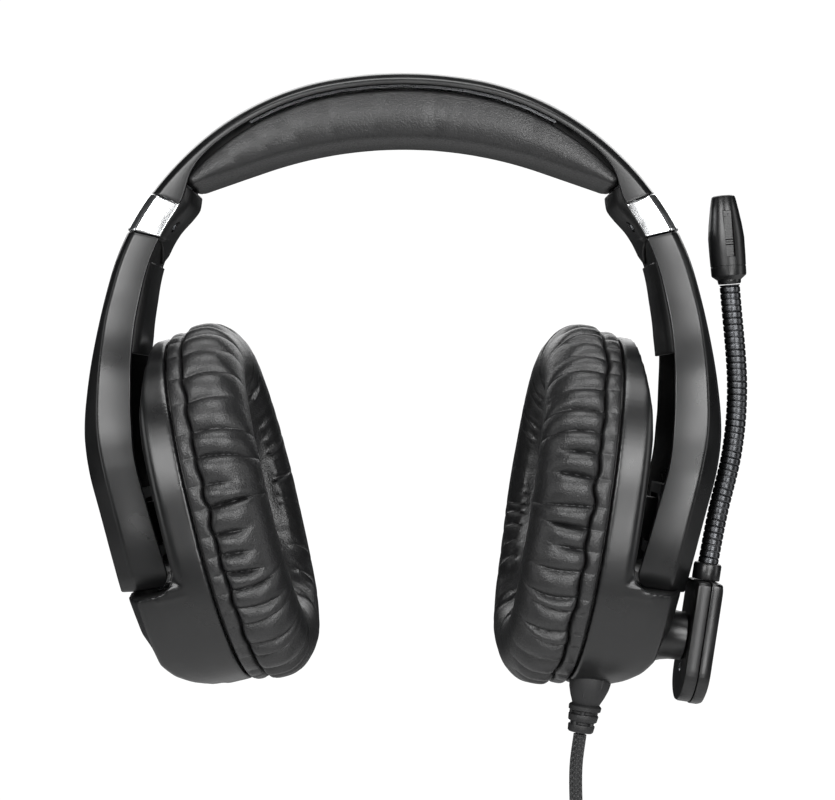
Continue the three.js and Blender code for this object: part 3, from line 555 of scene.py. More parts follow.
def shrink_outline(section, inset):
    """Moves a closed outline inwards along its own normals."""
    if inset < 1e-6:
        return section
    ahead = np.roll(section, -1, 0) - np.roll(section, 1, 0)
    normal = np.column_stack([ahead[:, 1], -ahead[:, 0]])
    normal /= np.maximum(np.linalg.norm(normal, axis=1, keepdims=True), 1e-9)
    area = np.sum(section[:, 0] * np.roll(section[:, 1], -1) - section[:, 1] * np.roll(section[:, 0], -1))
    return section - normal * inset * np.sign(area)


def swept(name, stations, section_of, material, edge_radius=0.3, sharp=40):
    stations, insets = end_rounding(list(stations), edge_radius)
    rings = [place(s, shrink_outline(section_of(s), inset)) for s, inset in zip(stations, insets)]
    return piece(name, *skin(rings), material, sharp)


# ---------------------------------------------------------------- headband


def headband_shell():
    obj = swept("band_shell", spread(-SHELL_END, SHELL_END, 1.2), channel, "shell", 0.25)
    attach(obj, "headband")
    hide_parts("headband_shell")


def pad_under(x):
    arc = PAD_ARC * math.sin(PAD_SLOPE)
    at = min(abs(x), arc)
    return math.sqrt(PAD_ARC ** 2 - at ** 2) - PAD_ARC - math.tan(PAD_SLOPE) * (abs(x) - at)


def pad_depth(station):
    point, across = edge(station)
    low, high = 5.0, 24.0
    for _ in range(30):
        middle = (low + high) / 2
        where = point + across * middle
        if where[2] > pad_under(where[0]):
            low = middle
        else:
            high = middle
    return high


def headband_pad():
    """Foam in leatherette: a full front face that rolls under, blunt ends, and soft dents across it."""
    end = 79.6
    stations = np.concatenate([[-end + 0.02, -end + 0.3, -end + 0.9], spread(-end + 1.8, end - 1.8, 1.0),
                               [end - 0.9, end - 0.3, end - 0.02]])
    rng = random.Random(7)
    dents = [(rng.uniform(-70, 70), rng.uniform(1.5, 3.5), rng.uniform(0.1, 0.28)) for _ in range(16)]
    rings = []
    for s in stations:
        low = pad_depth(s)
        out = max(0.0, (end - abs(s)) / 2.6)
        size = 1.0 if out >= 1 else math.sqrt(max(0.0, 1 - (1 - out) ** 2))
        top, middle = 4.7, (4.7 + low) / 2
        half = [(0, 8.2), (14.4, 8.2), (14.7, top + 0.2), (16.2, top), (17.3, top + (low - top) * 0.35),
                (17.1, top + (low - top) * 0.62), (15.2, low - 1.6), (8, low - 0.2), (0, low + 0.1)]
        radii = [1, 0.3, 0.6, 1.2, 3.5, 4, 4.5, 3, 3]
        outline = rounded(half + [(-y, d) for y, d in reversed(half[1:-1])], radii + radii[1:-1][::-1], 6)
        puff = sum(depth * math.exp(-((s - at) / width) ** 2) for at, width, depth in dents)
        outline[:, 0] *= (1 - puff / 17) * (0.5 + 0.5 * size)
        outline[:, 1] = middle + (outline[:, 1] - middle) * (0.25 + 0.75 * size)
        rings.append(place(s, outline))
    obj = piece("band_pad", *skin(rings), "leather", 70)
    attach(obj, "headband")
    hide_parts("headband_pad")


def plate(station, top, proud):
    """A crowned plate in the open side of the channel."""
    rim = smooth_ramp(FACE_HEIGHT, abs(station))
    width = inside(station)[0][0] - 0.3
    half = [(0, top), (width, top), (width, rim - 0.1), (width - 2.6, rim + proud * 0.6),
            (width * 0.45, rim + proud * 0.95), (0, rim + proud)]
    radii = [1, 0.3, 0.8, 1.6, 4, 4]
    return rounded(half + [(-y, d) for y, d in reversed(half[1:-1])], radii + radii[1:-1][::-1], 4)


SIDES = {"left": -1, "right": 1}
GUIDE_PROUD = [(80, 3.2), (86, 4.0), (92, 3.1), (96, 2.4), (100, 2.1), (109, 1.9)]
COVER_PROUD = [(101, 1.9), (109, 2.0), (120, 2.8), (131, 3.2), (138, 2.8)]


def tongue(station):
    """The guide's thin leaf, pointed like a shallow V, which lies over the step of the arm's cover."""
    s = abs(station)
    proud = ramp(GUIDE_PROUD, s)
    rim = smooth_ramp(FACE_HEIGHT, s)
    width = inside(station)[0][0] - 0.3
    reach = (width - 0.4) * min(1.0, max(0.06, (GUIDE[1] - s) / (GUIDE[1] - 101.4)))

    def surface(y):
        return rim + float(np.interp(y, [0, width * 0.45, width - 2.6, width],
                                     [proud, proud * 0.95, proud * 0.6, -0.1]))

    marks = [0, reach * 0.4, reach * 0.75, reach * 0.97]
    half = [(y, surface(y) - 0.7) for y in marks] + [(reach, surface(reach) - 0.35)]
    half += [(y, surface(y)) for y in reversed(marks)]
    return np.array(half + [(-y, d) for y, d in reversed(half[1:-1])])


def trims_and_guides(side):
    sign = SIDES[side]
    trim = swept(f"{side}_chrome_trim", sign * spread(*TRIM, 0.9), lambda s: channel(s, 0.35), "chrome", 0.5,
                 30)
    guide = swept(f"{side}_guide_body", sign * spread(GUIDE[0], TRIM[1] + 0.2, 1.0),
                  lambda s: plate(s, 6.4, ramp(GUIDE_PROUD, abs(s))), "plastic", 0.3)
    point, across = edge(sign * 95.2)
    hole = turned("hole", point + across * 9 + np.array([0, -11, 0]), across, [(1.9, -3), (1.9, 10)], 32,
                  "plastic")
    boolean(guide, [hole], "DIFFERENCE")
    shade(guide, 35)
    tip = swept(f"{side}_guide_tongue", sign * spread(TRIM[1] - 0.6, GUIDE[1], 0.7), tongue, "plastic", 0.25)
    for obj, slot, node in ((trim, "chrome", "trim"), (guide, "plastic", "slider_guide"),
                            (tip, "plastic", None)):
        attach(obj, "headband")
        if node:
            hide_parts(f"{side}_{node}")


def turned(name, start, axis, profile, sides, material, sharp=35):
    """A turned shape along an axis in the row frame."""
    rings = lathe(profile, sides)
    turn = Vector((0, 0, 1)).rotation_difference(Vector(axis)).to_matrix()
    points, faces = skin(rings)
    points = points @ np.array(turn).T + np.asarray(start, float)
    return piece(name, points, faces, material, sharp)


# ---------------------------------------------------------------- arms


def arm(side):
    sign = SIDES[side]
    end = ARM[1]
    corner = 5.0

    def section(s):
        near = max(0.0, abs(s) - (end - corner))
        trim = corner - math.sqrt(max(0.0, corner ** 2 - near ** 2))
        fill = min(1.0, max(0.0, (abs(s) - (end - 7)) / 3))
        outline = channel(s, 0.0, fill, trim * 0.85)
        outline[:, 0] *= 1 - 0.05 * (near / corner) ** 2
        return outline

    shell = swept(f"{side}_arm_body",
                  sign * np.concatenate([spread(ARM[0], end - 8, 1.4), spread(end - 7, end, 0.5)]),
                  section, "shell", 0.5)
    def lid(s):
        step = 0.95 * (1 - min(1.0, max(0.0, (abs(s) - COVER_STEP) / 0.35)))
        return plate(s, 7, ramp(COVER_PROUD, abs(s)) - step)

    near = [COVER_STEP - 0.3, COVER_STEP, COVER_STEP + 0.12, COVER_STEP + 0.35, COVER_STEP + 0.7]
    rows = np.concatenate([spread(COVER[0], COVER_STEP - 1, 1.0), near,
                           spread(COVER_STEP + 1.6, COVER[1], 1.0)])
    high = swept(f"{side}_arm_lid", sign * rows, lid, "plastic", 0.4)
    for obj, slot, node in ((shell, "shell", "arm_shell"), (high, "plastic", "arm_cover")):
        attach(obj, f"{side}_arm")
        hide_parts(f"{side}_{node}")


# ---------------------------------------------------------------- cups


def cup_matrix(side):
    """The cup's own frame: x outwards from the groove behind the pad, y towards +Y, z up the cup."""
    outwards = -Vector(MOUNTS[f"{side}_ear"]["axis"])
    upwards = Vector(JOINTS[f"{side}_swivel"]["axis"])
    upwards *= math.copysign(1, upwards.z)
    across = upwards.cross(outwards) * SIDES[side]
    pivot = Vector(JOINTS[f"{side}_swivel"]["pos_m"]) / MM
    origin = pivot - outwards * PIVOT_OUT
    return np.array([outwards, across, upwards]), np.array(origin)


def in_cup(side, points):
    axes, origin = cup_matrix(side)
    return np.asarray(points, float) @ axes + origin


def oval(height, width, power, count, x):
    angles = np.linspace(0, 2 * math.pi, count, endpoint=False)
    c, s = np.cos(angles), np.sin(angles)
    stretch = (np.abs(c) ** power + np.abs(s) ** power) ** (-1 / power)
    return np.column_stack([np.full(count, x), width * stretch * s, height * stretch * c])


def cup_plate(name, profile, side):
    rings = [oval(CUP_HEIGHT - inset, CUP_WIDTH - inset, CUP_POWER, 160, x) for x, inset in profile]
    points, faces = skin(rings)
    return piece(name, in_cup(side, points), faces, "shell")


def cup_chin(side):
    reaches = [(-z, x) for x, z in CHIN]
    rings = []
    for z in np.concatenate([[LIP_TOP], spread(-20, -52, 1.2), [-52.6, -53.2]]):
        reach = ramp(reaches, -z) if z > -52 else 12 * (1 - (-z - 52) / 1.8)
        crown = 1.7 * min(1.0, reach / 20)
        full = CUP_WIDTH * (1 - min(-z / CUP_HEIGHT, 0.9995) ** CUP_POWER) ** (1 / CUP_POWER)
        width = full - 0.1
        face = min(CHIN_FACE, reach - 3.4)
        half = [(CUP_BACK + 0.2, width), (max(face - 6, 0.4), width), (face, width * 0.975 - 0.4),
                (reach - crown, width * 0.5), (reach, 0)]
        outline = rounded(half + [(x, -y) for x, y in reversed(half[:-1])],
                          [0.3, 2, 1.2, 4, 9, 4, 1.2, 2, 0.3], 3)
        rings.append([(x, y, z) for x, y in outline])
    points, faces = skin(rings)
    return piece("chin", in_cup(side, points), faces, "shell")


def prism(name, outline, y, side, material="shell"):
    """An outline in the cup's x-z plane, drawn out from y[0] to y[1]."""
    count = len(outline)
    points = [(x, where, z) for where in y for x, z in outline]
    faces = [(i, (i + 1) % count, count + (i + 1) % count, count + i) for i in range(count)]
    faces += [tuple(range(count))[::-1], tuple(range(count, 2 * count))]
    return piece(name, in_cup(side, points), faces, material)


def cup_shell(side):
    depth = CUP_DEPTH
    cup = cup_plate(f"{side}_cup_body",
                    [(CUP_BACK, 0.35), (CUP_BACK + 0.4, 0), (depth - 3, 0), (depth - 2, 0.3),
                                         (depth - 1, 1.0), (depth - 0.3, 1.8), (depth, 2.8)], side)
    arc = [(depth + NOTCH_RADIUS * (1 - math.sin(a)), NOTCH_FLOOR + NOTCH_RADIUS * (1 - math.cos(a)))
           for a in np.linspace(math.pi / 2, 0, 10)]
    top = NOTCH_FLOOR + NOTCH_RADIUS
    fillet = prism("fillet", [(depth - 3, NOTCH_FLOOR - 2), (depth - 3, top), (depth + NOTCH_RADIUS, top),
                              (depth + NOTCH_RADIUS, NOTCH_FLOOR - 2)], (-40.5, 40.5), side)
    boolean(cup, [cup_chin(side), fillet], "UNION")
    face = depth - 1.5
    notch = prism("notch", [(depth, top + 0.3), *[(max(x, depth + 0.02), z) for x, z in arc],
                            (23.5, NOTCH_FLOOR), (27, -19.1),
                            (33, -18.6), (33, -10), (depth, -10)], (-45, 45), side)
    dish = prism("dish", [(face, NOTCH_FLOOR + NOTCH_RADIUS), (face, 14), (face - 4.2, 60), (face + 40, 60),
                          (face + 40, NOTCH_FLOOR + NOTCH_RADIUS)], (-24, 24), side)
    slope = prism("slope", [(depth + 0.1, 22), (depth - 1, 32), (depth - 3, 41), (depth - 5.8, 53),
                            (depth - 6.2, 56),
                            (depth + 40, 56), (depth + 40, 22)], (-50, 50), side)
    hollow = cup_plate("hollow", [(CUP_BACK - 1, 2.2), (1.2, 2.2)], side)
    boolean(cup, [notch, slope, dish, hollow], "DIFFERENCE")
    soften(cup, 0.5, 10)
    boss = prism("boss", [(depth - 2.5, -6.4), (21.4, -6.4), (21.4, 6.4), (depth - 2.5, 6.4)], (-4, 4), side)
    boolean(cup, [boss], "UNION")
    shade(cup, 60)
    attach(cup, f"{side}_cup")
    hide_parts(f"{side}_cup_shell")


PAD_PROFILE = [(-2.9, 2.6), (-3.0, 1.3), (-3.6, 0.7), (-5.0, 0.5), (-6.5, 0.6), (-7.2, 1.2), (-7.6, 3.0),
               (-8.0, 1.3),
               (-8.7, 0.5), (-10.2, 0.1), (-12.2, 0.0), (-15.2, 0.3), (-18.2, 1.5), (-20.8, 3.6),
               (-22.8, 6.6),
               (-23.8, 9.8), (-24.0, 12.6), (-23.6, 15.4), (-22.4, 18.0), (-20.4, 20.4)]
PAD_HOLE = [(-17.6, 0.4), (-14.0, -0.4), (-10.0, -0.6), (-6.6, 0), (-4.4, 1.2), (-3.8, 3.0)]
PAD_HEIGHT, PAD_WIDTH, HOLE_HEIGHT, HOLE_WIDTH = 55, 44, 31, 23


def even_oval(height, width, power, count):
    """Directions round an oval at equal steps of length."""
    fine = oval(height, width, power, 4000, 0)[:, 1:]
    steps = np.linalg.norm(np.roll(fine, -1, 0) - fine, axis=1)
    along = np.concatenate([[0], np.cumsum(steps)])
    at = np.linspace(0, along[-1], count, endpoint=False)
    angles = np.interp(at, along, np.linspace(0, 2 * math.pi, 4001))
    return angles, at, along[-1]


def ear_pad(side):
    """A gathered leatherette ring: a skirt, a deep wavy seam, pleats that fade over the wall, a soft crest and
    a creased inner wall."""
    count = 1300
    rng = random.Random(11 if side == "left" else 23)
    angles, at, around = even_oval(PAD_HEIGHT, PAD_WIDTH, 2.25, count)
    c, s = np.cos(angles), np.sin(angles)
    outer = (np.abs(c / PAD_HEIGHT) ** 2.25 + np.abs(s / PAD_WIDTH) ** 2.25) ** (-1 / 2.25)
    inner = (np.abs(c / HOLE_HEIGHT) ** 2.1 + np.abs(s / HOLE_WIDTH) ** 2.1) ** (-1 / 2.1)
    knots = [(x, inset, 0) for x, inset in PAD_PROFILE] + [(x, inset, 1) for x, inset in PAD_HOLE]
    line = smooth_line([(x, inset, 0) for x, inset, _ in knots[:len(PAD_PROFILE)]], 0.55)
    ring_x, ring_r = [], []
    for x, inset, _ in line:
        ring_x.append(np.full(count, x))
        ring_r.append(outer - inset)
    wall = smooth_line([(line[-1][0], 0, 0)] + [(x, k, 0) for x, k in PAD_HOLE], 0.9)
    for i, (x, inset, _) in enumerate(wall[1:]):
        blend = min(1.0, (i + 1) / 5)
        ring_x.append(np.full(count, x))
        ring_r.append((outer - PAD_PROFILE[-1][1]) * (1 - blend) + (inner + inset) * blend)
    x, r = np.array(ring_x), np.array(ring_r)
    rows = len(line)

    seam = -7.6
    wall_t = np.clip((seam - x[:rows]) / 14.5, 0, 1)
    skirt_t = np.clip((x[:rows] - seam) / 4.6, 0, 1)
    on_wall = x[:rows] < seam
    offset = np.zeros_like(r)
    slide = np.zeros_like(r)
    pleats, position = [], 0.0
    while position < around - 3:
        tight = abs(math.sin(float(np.interp(position, at, angles))))
        pleats.append((position, rng.uniform(1.8, 3.2), rng.uniform(0.7, 1.3), rng.uniform(-2.6, 2.6)))
        position += rng.uniform(0.7, 1.35) * (4.6 + 3.6 * tight)
    places, depths, reaches, slants = (np.array(v) for v in zip(*pleats))
    total = len(places)
    for row in range(rows):
        t = wall_t[row, 0]
        drift = places + slants * t * 0.8
        lined = np.concatenate([[drift[-1] - around], drift, [drift[0] + around]])
        spot = np.interp(at, lined, np.arange(-1, total + 1))
        low, part = np.floor(spot).astype(int), spot % 1
        arch = (4 * part * (1 - part) + 0.01) ** 0.7
        if on_wall[row, 0]:
            grown = 0.25 + 0.75 * min(1.0, t / 0.12)
            near, far = (depths[k % total] * np.clip((reaches[k % total] - t) / 0.35, 0,
                                                     1) for k in (low, low + 1))
            offset[row] += (arch - 0.7) * (near * (1 - part) + far * part) * grown
        else:
            near, far = depths[low % total], depths[(low + 1) % total]
            offset[row] += (arch - 0.8) * (near * (1 - part) + far
                                           * part) * 0.3 * 4 * skirt_t[row, 0] * (1 - skirt_t[row, 0])
    waves = [(rng.uniform(0, 6.28), rng.randint(9, 31), rng.uniform(0.12, 0.4)) for _ in range(7)]
    wavy = sum(size * np.sin(turns * 2 * math.pi * at / around + phase) for phase, turns, size in waves)
    near_seam = np.exp(-((x[:rows] - seam) / 2.6) ** 2)
    slide[:rows] += wavy[None, :] * near_seam * 0.45
    for _ in range(34):
        centre, width = rng.uniform(0, around), rng.uniform(2.2, 5.0)
        row, spread_rows = rng.uniform(rows * 0.62, rows), rng.uniform(6, 16)
        gap = (at - centre + around / 2) % around - around / 2
        patch = np.exp(-((np.arange(len(x))[:, None] - row) / spread_rows) ** 2) * np.exp(-(gap[None, :] / width) ** 2)
        offset -= patch * rng.uniform(0.15, 0.5)
    waves = [(rng.uniform(0, 6.28), rng.randint(3, 8), rng.uniform(0.1, 0.3)) for _ in range(4)]
    slow = sum(size * np.sin(turns * 2 * math.pi * at / around + phase) for phase, turns, size in waves)
    crest = np.exp(-((x + 24) / 4.0) ** 2)
    x = x + slide + crest * slow[None, :] * 0.5
    r = r + offset
    rings = np.stack([x, r * s[None, :], r * c[None, :]], axis=2)
    points, faces = skin(rings, caps=False, closed=True)
    obj = piece(f"{side}_ear_cushion", in_cup(side, points), faces, "leather", 75)
    modifier(obj, "SMOOTH", factor=0.5, iterations=3)
    apply_modifiers(obj)
    shade(obj, 75)
    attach(obj, f"{side}_cup")
    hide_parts(f"{side}_ear_pad")


def grille_cloth(side):
    """Speaker cloth stretched over the driver, slightly domed, with a stitched edge roll."""
    rings = []
    for size, x in ((1, -3.4), (0.985, -3.75), (0.96, -3.5), (0.9, -3.55), (0.6, -3.7), (0.3, -3.78),
                    (0.02, -3.8)):
        rings.append(oval(29.5 * size, 21.5 * size, 2.1, 96, x))
    back = [oval(29.5 * size, 21.5 * size, 2.1, 96, -2.9) for size in (0.02, 1)]
    points, faces = skin(rings + back, caps=False, closed=True)
    obj = piece(f"{side}_speaker_cloth", in_cup(side, points), faces, "cloth", 60)
    flat_uv(obj, [1, 2])
    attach(obj, f"{side}_cup")
    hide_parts(f"{side}_grille_cloth")


def flat_uv(obj, axes):
    layer = obj.data.uv_layers.new(name="lengths")
    for loop in obj.data.loops:
        co = obj.data.vertices[loop.vertex_index].co / MM
        layer.data[loop.index].uv = (co[axes[0]], co[axes[1]])


# ---------------------------------------------------------------- microphone boom


def boom_outline(inset, steps=24):
    radius, centre = BOOM_HALF - inset, BOOM_BOTTOM + BOOM_HALF
    low = [(-radius * math.cos(a), centre - radius * math.sin(a)) for a in np.linspace(0, math.pi, steps)]
    return [(radius, BOOM_TOP - inset), (-radius, BOOM_TOP - inset)] + low


def boom_slab(name, start, end, inset, bevels, material):
    near, far = bevels
    layers = [(start, inset + near), (start + 0.25 * near, inset + 0.3 * near), (start + near, inset),
              (end - far, inset), (end - 0.25 * far, inset + 0.3 * far), (end, inset + far)]
    rings = []
    for x, step in layers:
        corner = rounded(boom_outline(step), [2.2, 2.2] + [0.2] * 24, 3)
        rings.append([(x, BOOM_Y + y, z) for y, z in corner])
    points, faces = skin(rings)
    return piece(name, in_cup("right", points), faces, material, 30)


def cup_turned(name, start, axis, profile, sides, material, sharp=35):
    rings = lathe(profile, sides)
    turn = np.array(Vector((0, 0, 1)).rotation_difference(Vector(axis)).to_matrix())
    points, faces = skin(rings)
    points = points @ turn.T + np.asarray(start, float)
    return piece(name, in_cup("right", points), faces, material, sharp)


def boom_base():
    inner = boom_slab("boom_inner_half", BOOM_INNER, BOOM_SPLIT, 0.3, (0.9, 0.25), "plastic")
    hole = cup_turned("hole", (BOOM_INNER - 1, BOOM_Y, -43.5), (1, 0, 0), [(1.5, 0), (1.5, 2.2)], 24,
                      "plastic")
    boolean(inner, [hole], "DIFFERENCE")
    shade(inner, 30)
    outer = boom_slab("boom_outer_half", BOOM_SPLIT + 0.2, BOOM_OUTER, 0, (0.25, 1.4), "shell")
    collar = cup_turned("boom_collar", (NECK[0][0], BOOM_Y, BOOM_TOP + 0.2), (0, 0, 1),
                        [(0.5, -0.1), (4.1, -0.1), (4.25, 0.2), (4.25, 4.4), (4.0, 4.9), (3.3, 5.2),
                         (0.5, 5.2)],
                        48, "shell")
    screw = cup_turned("boom_small_screw", (BOOM_INNER - 0.1, BOOM_Y, -43.5), (1, 0, 0),
                       [(0.02, 0), (0.95, 0), (1.2, 0.25), (1.2, 0.9), (0.02, 0.9)], 24, "steel")
    socket = cup_turned("socket", (BOOM_INNER - 0.5, BOOM_Y, -43.5), (1, 0, 0), [(0.55, 0), (0.55, 0.8)], 6,
                        "steel")
    boolean(screw, [socket], "DIFFERENCE")
    shade(screw, 30)
    for obj, slot, nodes in ((inner, "plastic", ["boom_base_inner"]), (outer, "shell", ["boom_base_outer"]),
                             (collar, "shell", []), (screw, "steel", ["boom_screw"])):
        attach(obj, "boom")
        if nodes:
            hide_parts(*nodes)


def mic_stub():
    profile = [(12.5, 12), (11.6, 16), (10.3, 19), (9.0, 22), (8.1, 24.6), (7.6, 27), (7.4, 29.5),
               (7.4, 30.5), (7.0, 30.9)]
    stub = cup_turned("boom_stub", (0, BOOM_Y, BOOM_Z), (1, 0, 0), profile, 64, "shell", 40)
    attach(stub, "right_cup")
    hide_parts("mic_stub")


def gooseneck():
    """Interlocked rings on a bent line, cut at the middle of each rigid stretch; the first piece goes with the boom,
    the last with the mic, and the four pieces between them are left unattached."""
    line = smooth_line([(x, BOOM_Y, z) for x, z in NECK], 0.165)
    count = len(line)
    pitch, sides = 1.95, 40
    tangent = np.gradient(line, axis=0)
    tangent /= np.linalg.norm(tangent, axis=1, keepdims=True)
    across = np.array([0, 1, 0])
    up = np.cross(tangent, across)
    angles = np.linspace(0, 2 * math.pi, sides, endpoint=False)
    along = np.arange(count) * 0.165
    phase = (along / pitch) % 1
    radius = NECK_RADIUS * (0.9 + 0.1 * np.clip(np.sin(math.pi * phase) * 2, 0, 1))
    rings = (line[:, None, :] + radius[:, None, None] * (np.cos(angles)[None, :, None] * across
             + np.sin(angles)[None, :, None] * up[:, None, :]))
    cuts = [0] + [round(count * (i + 0.5) / 5) for i in range(5)] + [count - 1]
    chain = ["boom", "neck_2", "neck_3", "neck_4", "mic"]
    replaced = [["gooseneck_1"], ["gooseneck_2"], ["gooseneck_3"], ["gooseneck_4"], ["gooseneck_5"], []]
    for i in range(6):
        part = rings[cuts[i]:cuts[i + 1] + 1]
        points, faces = skin(part)
        obj = piece(f"neck_stretch_{i + 1}", in_cup("right", points), faces, "dark_metal", 60)
        if i in (0, 5):
            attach(obj, chain[0 if i == 0 else 4])
        else:
            way = Vector(in_cup("right", [line[cuts[i + 1]]])[0] - in_cup("right", [line[cuts[i]]])[0]).normalized()
            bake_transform(obj)
        if replaced[i]:
            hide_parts(*replaced[i])
    return line


def mic_head(line):
    tip = line[-1]
    way = line[-1] - line[-3]
    way /= np.linalg.norm(way)
    profile = [(2.0, 0.0), (3.3, 0.0), (3.5, 0.3), (3.6, 1.2), (4.6, 2.0), (5.25, 2.5), (5.35, 3.0),
               (5.4, 5.2), (5.3, 5.3),
               (5.3, 5.5), (5.42, 5.6), (5.5, 9.0), (5.52, 14.0), (5.1, 18.0), (4.3, 23.0), (3.75, 26.0),
               (3.5, 26.7),
               (3.0, 27.0), (0.02, 27.0)]
    body = cup_turned("mic_head_shell", tip + way * 0.3, way, profile, 72, "shell", 35)
    frame_axes = np.array(Vector((0, 0, 1)).rotation_difference(Vector(way)).to_matrix())

    def local(points):
        return in_cup("right", np.asarray(points, float) @ frame_axes.T + tip + way * 0.3)

    def block(name, x, y, z, material):
        corners = [(a, b, c) for a in x for b in y for c in z]
        faces = [(0, 1, 3, 2), (4, 6, 7, 5), (0, 4, 5, 1), (2, 3, 7, 6), (0, 2, 6, 4), (1, 5, 7, 3)]
        return piece(name, local(corners), faces, material)

    slot = block("slot", (-1.45, 1.45), (-8, -3.1), (8.1, 22.3), "shell")
    boolean(body, [slot], "DIFFERENCE")
    shade(body, 32)
    insert = block("mic_ribbed_insert", (-1.2, 1.2), (-3.9, -3.0), (8.4, 22.0), "plastic")
    ribs = []
    for k in range(17):
        low = 8.9 + k * 0.78
        ribs.append(block("rib", (-1.2, 1.2), (-4.25, -3.8), (low, low + 0.42), "plastic"))
    boolean(insert, ribs, "UNION")
    shade(insert, 30)
    for obj, slot_name, node in ((body, "shell", "mic_housing"), (insert, "plastic", "mic_insert")):
        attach(obj, "mic")
        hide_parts(node)


# ---------------------------------------------------------------- cable


def strain_relief():
    profile = [(0.02, -69.5), (3.5, -69.5), (3.9, -69.1), (4.1, -67.2), (4.0, -66.9), (3.3, -66.7),
               (3.3, -66.0),
               (4.1, -65.8), (4.4, -65.5), (4.6, -63.6), (4.4, -63.3), (3.7, -63.1), (3.7, -62.4),
               (4.5, -62.2),
               (4.9, -61.9), (5.0, -60.6), (4.7, -60.2), (4.2, -59.8), (4.4, -59.2), (5.2, -57.2),
               (6.0, -54.6),
               (6.3, -52.6), (6.4, -50.2), (6.2, -48.6), (0.02, -48.4)]
    rings = lathe(profile, 48)
    points, faces = skin(rings)
    points[:, 2] = -46 + (points[:, 2] + 46) * 0.9
    points = points * np.array([1, 0.9, 1]) + np.array([4.4, -13, 0])
    points[:, 0] += 0.045 * (points[:, 2] + 46)
    relief = piece("cable_strain_relief", in_cup("right", points), faces, "rubber", 40)
    bridges = []
    for level, turn in ((-64.3, 0), (-61.1, 0.6)):
        for k in range(4):
            a = turn + k * math.pi / 2 + math.pi / 4
            x, y = 3.6 + 3.6 * math.cos(a), -13 + 3.3 * math.sin(a)
            bridges.append(cup_turned("bridge", (x, y, level - 0.5), (0, 0, 1), [(0.75, 0), (0.75, 1.0)], 10,
                                      "rubber"))
    for x, reach in ((2.6, -56), (7.4, -53)):
        bridges.append(cup_turned("rib", (x, -18.3, -47), (-0.06, 0.12, -1), [(0.5, 0), (0.5, -47 - reach)],
                                  12, "rubber"))
    boolean(relief, bridges, "UNION")
    shade(relief, 40)
    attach(relief, "right_cup")
    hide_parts("strain_relief")
    return relief


def cord_route():
    """The lead down from the cup, the hank's turns, and the run through the remote to the plug."""
    lead = smooth_line(LEAD, 2.5)
    turns, points = 5, []
    start, pitch = (HANK_X + HANK_BEND, -7.2, HANK_TOP), 4.15
    per_turn = 2 * HANK_RUN + 2 * math.pi * HANK_BEND
    steps = 60
    for i in range(turns * steps + 1):
        length = per_turn * i / steps
        on = length % per_turn
        y = start[1] + pitch * length / per_turn
        if on < HANK_RUN:
            x, z = HANK_BEND, -on
        elif on < HANK_RUN + math.pi * HANK_BEND:
            a = (on - HANK_RUN) / HANK_BEND
            x, z = HANK_BEND * math.cos(a), -HANK_RUN - HANK_BEND * math.sin(a)
        elif on < 2 * HANK_RUN + math.pi * HANK_BEND:
            x, z = -HANK_BEND, -HANK_RUN + (on - HANK_RUN - math.pi * HANK_BEND)
        else:
            a = (on - 2 * HANK_RUN - math.pi * HANK_BEND) / HANK_BEND
            x, z = -HANK_BEND * math.cos(a), HANK_BEND * math.sin(a)
        if i >= 3 and i < turns * steps - 1:
            points.append((HANK_X + x, y, HANK_TOP + z))
    tail = [(62.2, 14.4, -238.5)] + TAIL[1:]
    end = [(51, REMOTE_Y, z) for z in (-272, -290, -305, REMOTE_TOP - REMOTE_LENGTH, PLUG_TOP - 2)]
    return np.vstack([smooth_line(list(lead[:-1]) + points[:1], 2.5)[:-1], np.array(points[:-1]),
                      smooth_line(points[-1:] + tail + end, 2.5)])


def braided_tube(name, path, radius, sides=20):
    path = np.asarray(path)
    tangent = np.gradient(path, axis=0)
    tangent /= np.linalg.norm(tangent, axis=1, keepdims=True)
    side = np.array([0.0, 1.0, 0.0])
    rings = []
    for point, way in zip(path, tangent):
        side = side - way * np.dot(side, way)
        side /= np.linalg.norm(side)
        up = np.cross(way, side)
        angles = np.linspace(0, 2 * math.pi, sides, endpoint=False)
        rings.append(point + radius * (np.cos(angles)[:, None] * side + np.sin(angles)[:, None] * up))
    points, faces = skin(rings)
    obj = bpy.data.objects.new(name, bpy.data.meshes.new(name))
    obj.data.from_pydata((points * MM).tolist(), [], [list(f) for f in faces])
    SCENE.collection.objects.link(obj)
    obj.data.materials.append(MATERIALS["braid"])
    shade(obj, 60)
    length = np.concatenate([[0], np.cumsum(np.linalg.norm(np.diff(path, axis=0), axis=1))])
    layer = obj.data.uv_layers.new(name="lengths")
    girth = 2 * math.pi * radius
    for face in obj.data.polygons:
        base = [obj.data.loops[i].vertex_index for i in face.loop_indices]
        wraps = {v % sides for v in base} == {0, sides - 1}
        for i, v in zip(face.loop_indices, base):
            column = v % sides
            column = sides if wraps and column == 0 else column
            layer.data[i].uv = (column / sides * girth, length[v // sides])
    return obj


def soft_box(name, x, y, z, radius, material):
    corners = [(a, b, c) for a in x for b in y for c in z]
    faces = [(0, 1, 3, 2), (4, 6, 7, 5), (0, 4, 5, 1), (2, 3, 7, 6), (0, 2, 6, 4), (1, 5, 7, 3)]
    obj = piece(name, corners, faces, material)
    modifier(obj, "BEVEL", width=radius * MM, segments=4, limit_method="ANGLE", angle_limit=math.radians(30))
    apply_modifiers(obj)
    shade(obj, 35)
    return obj


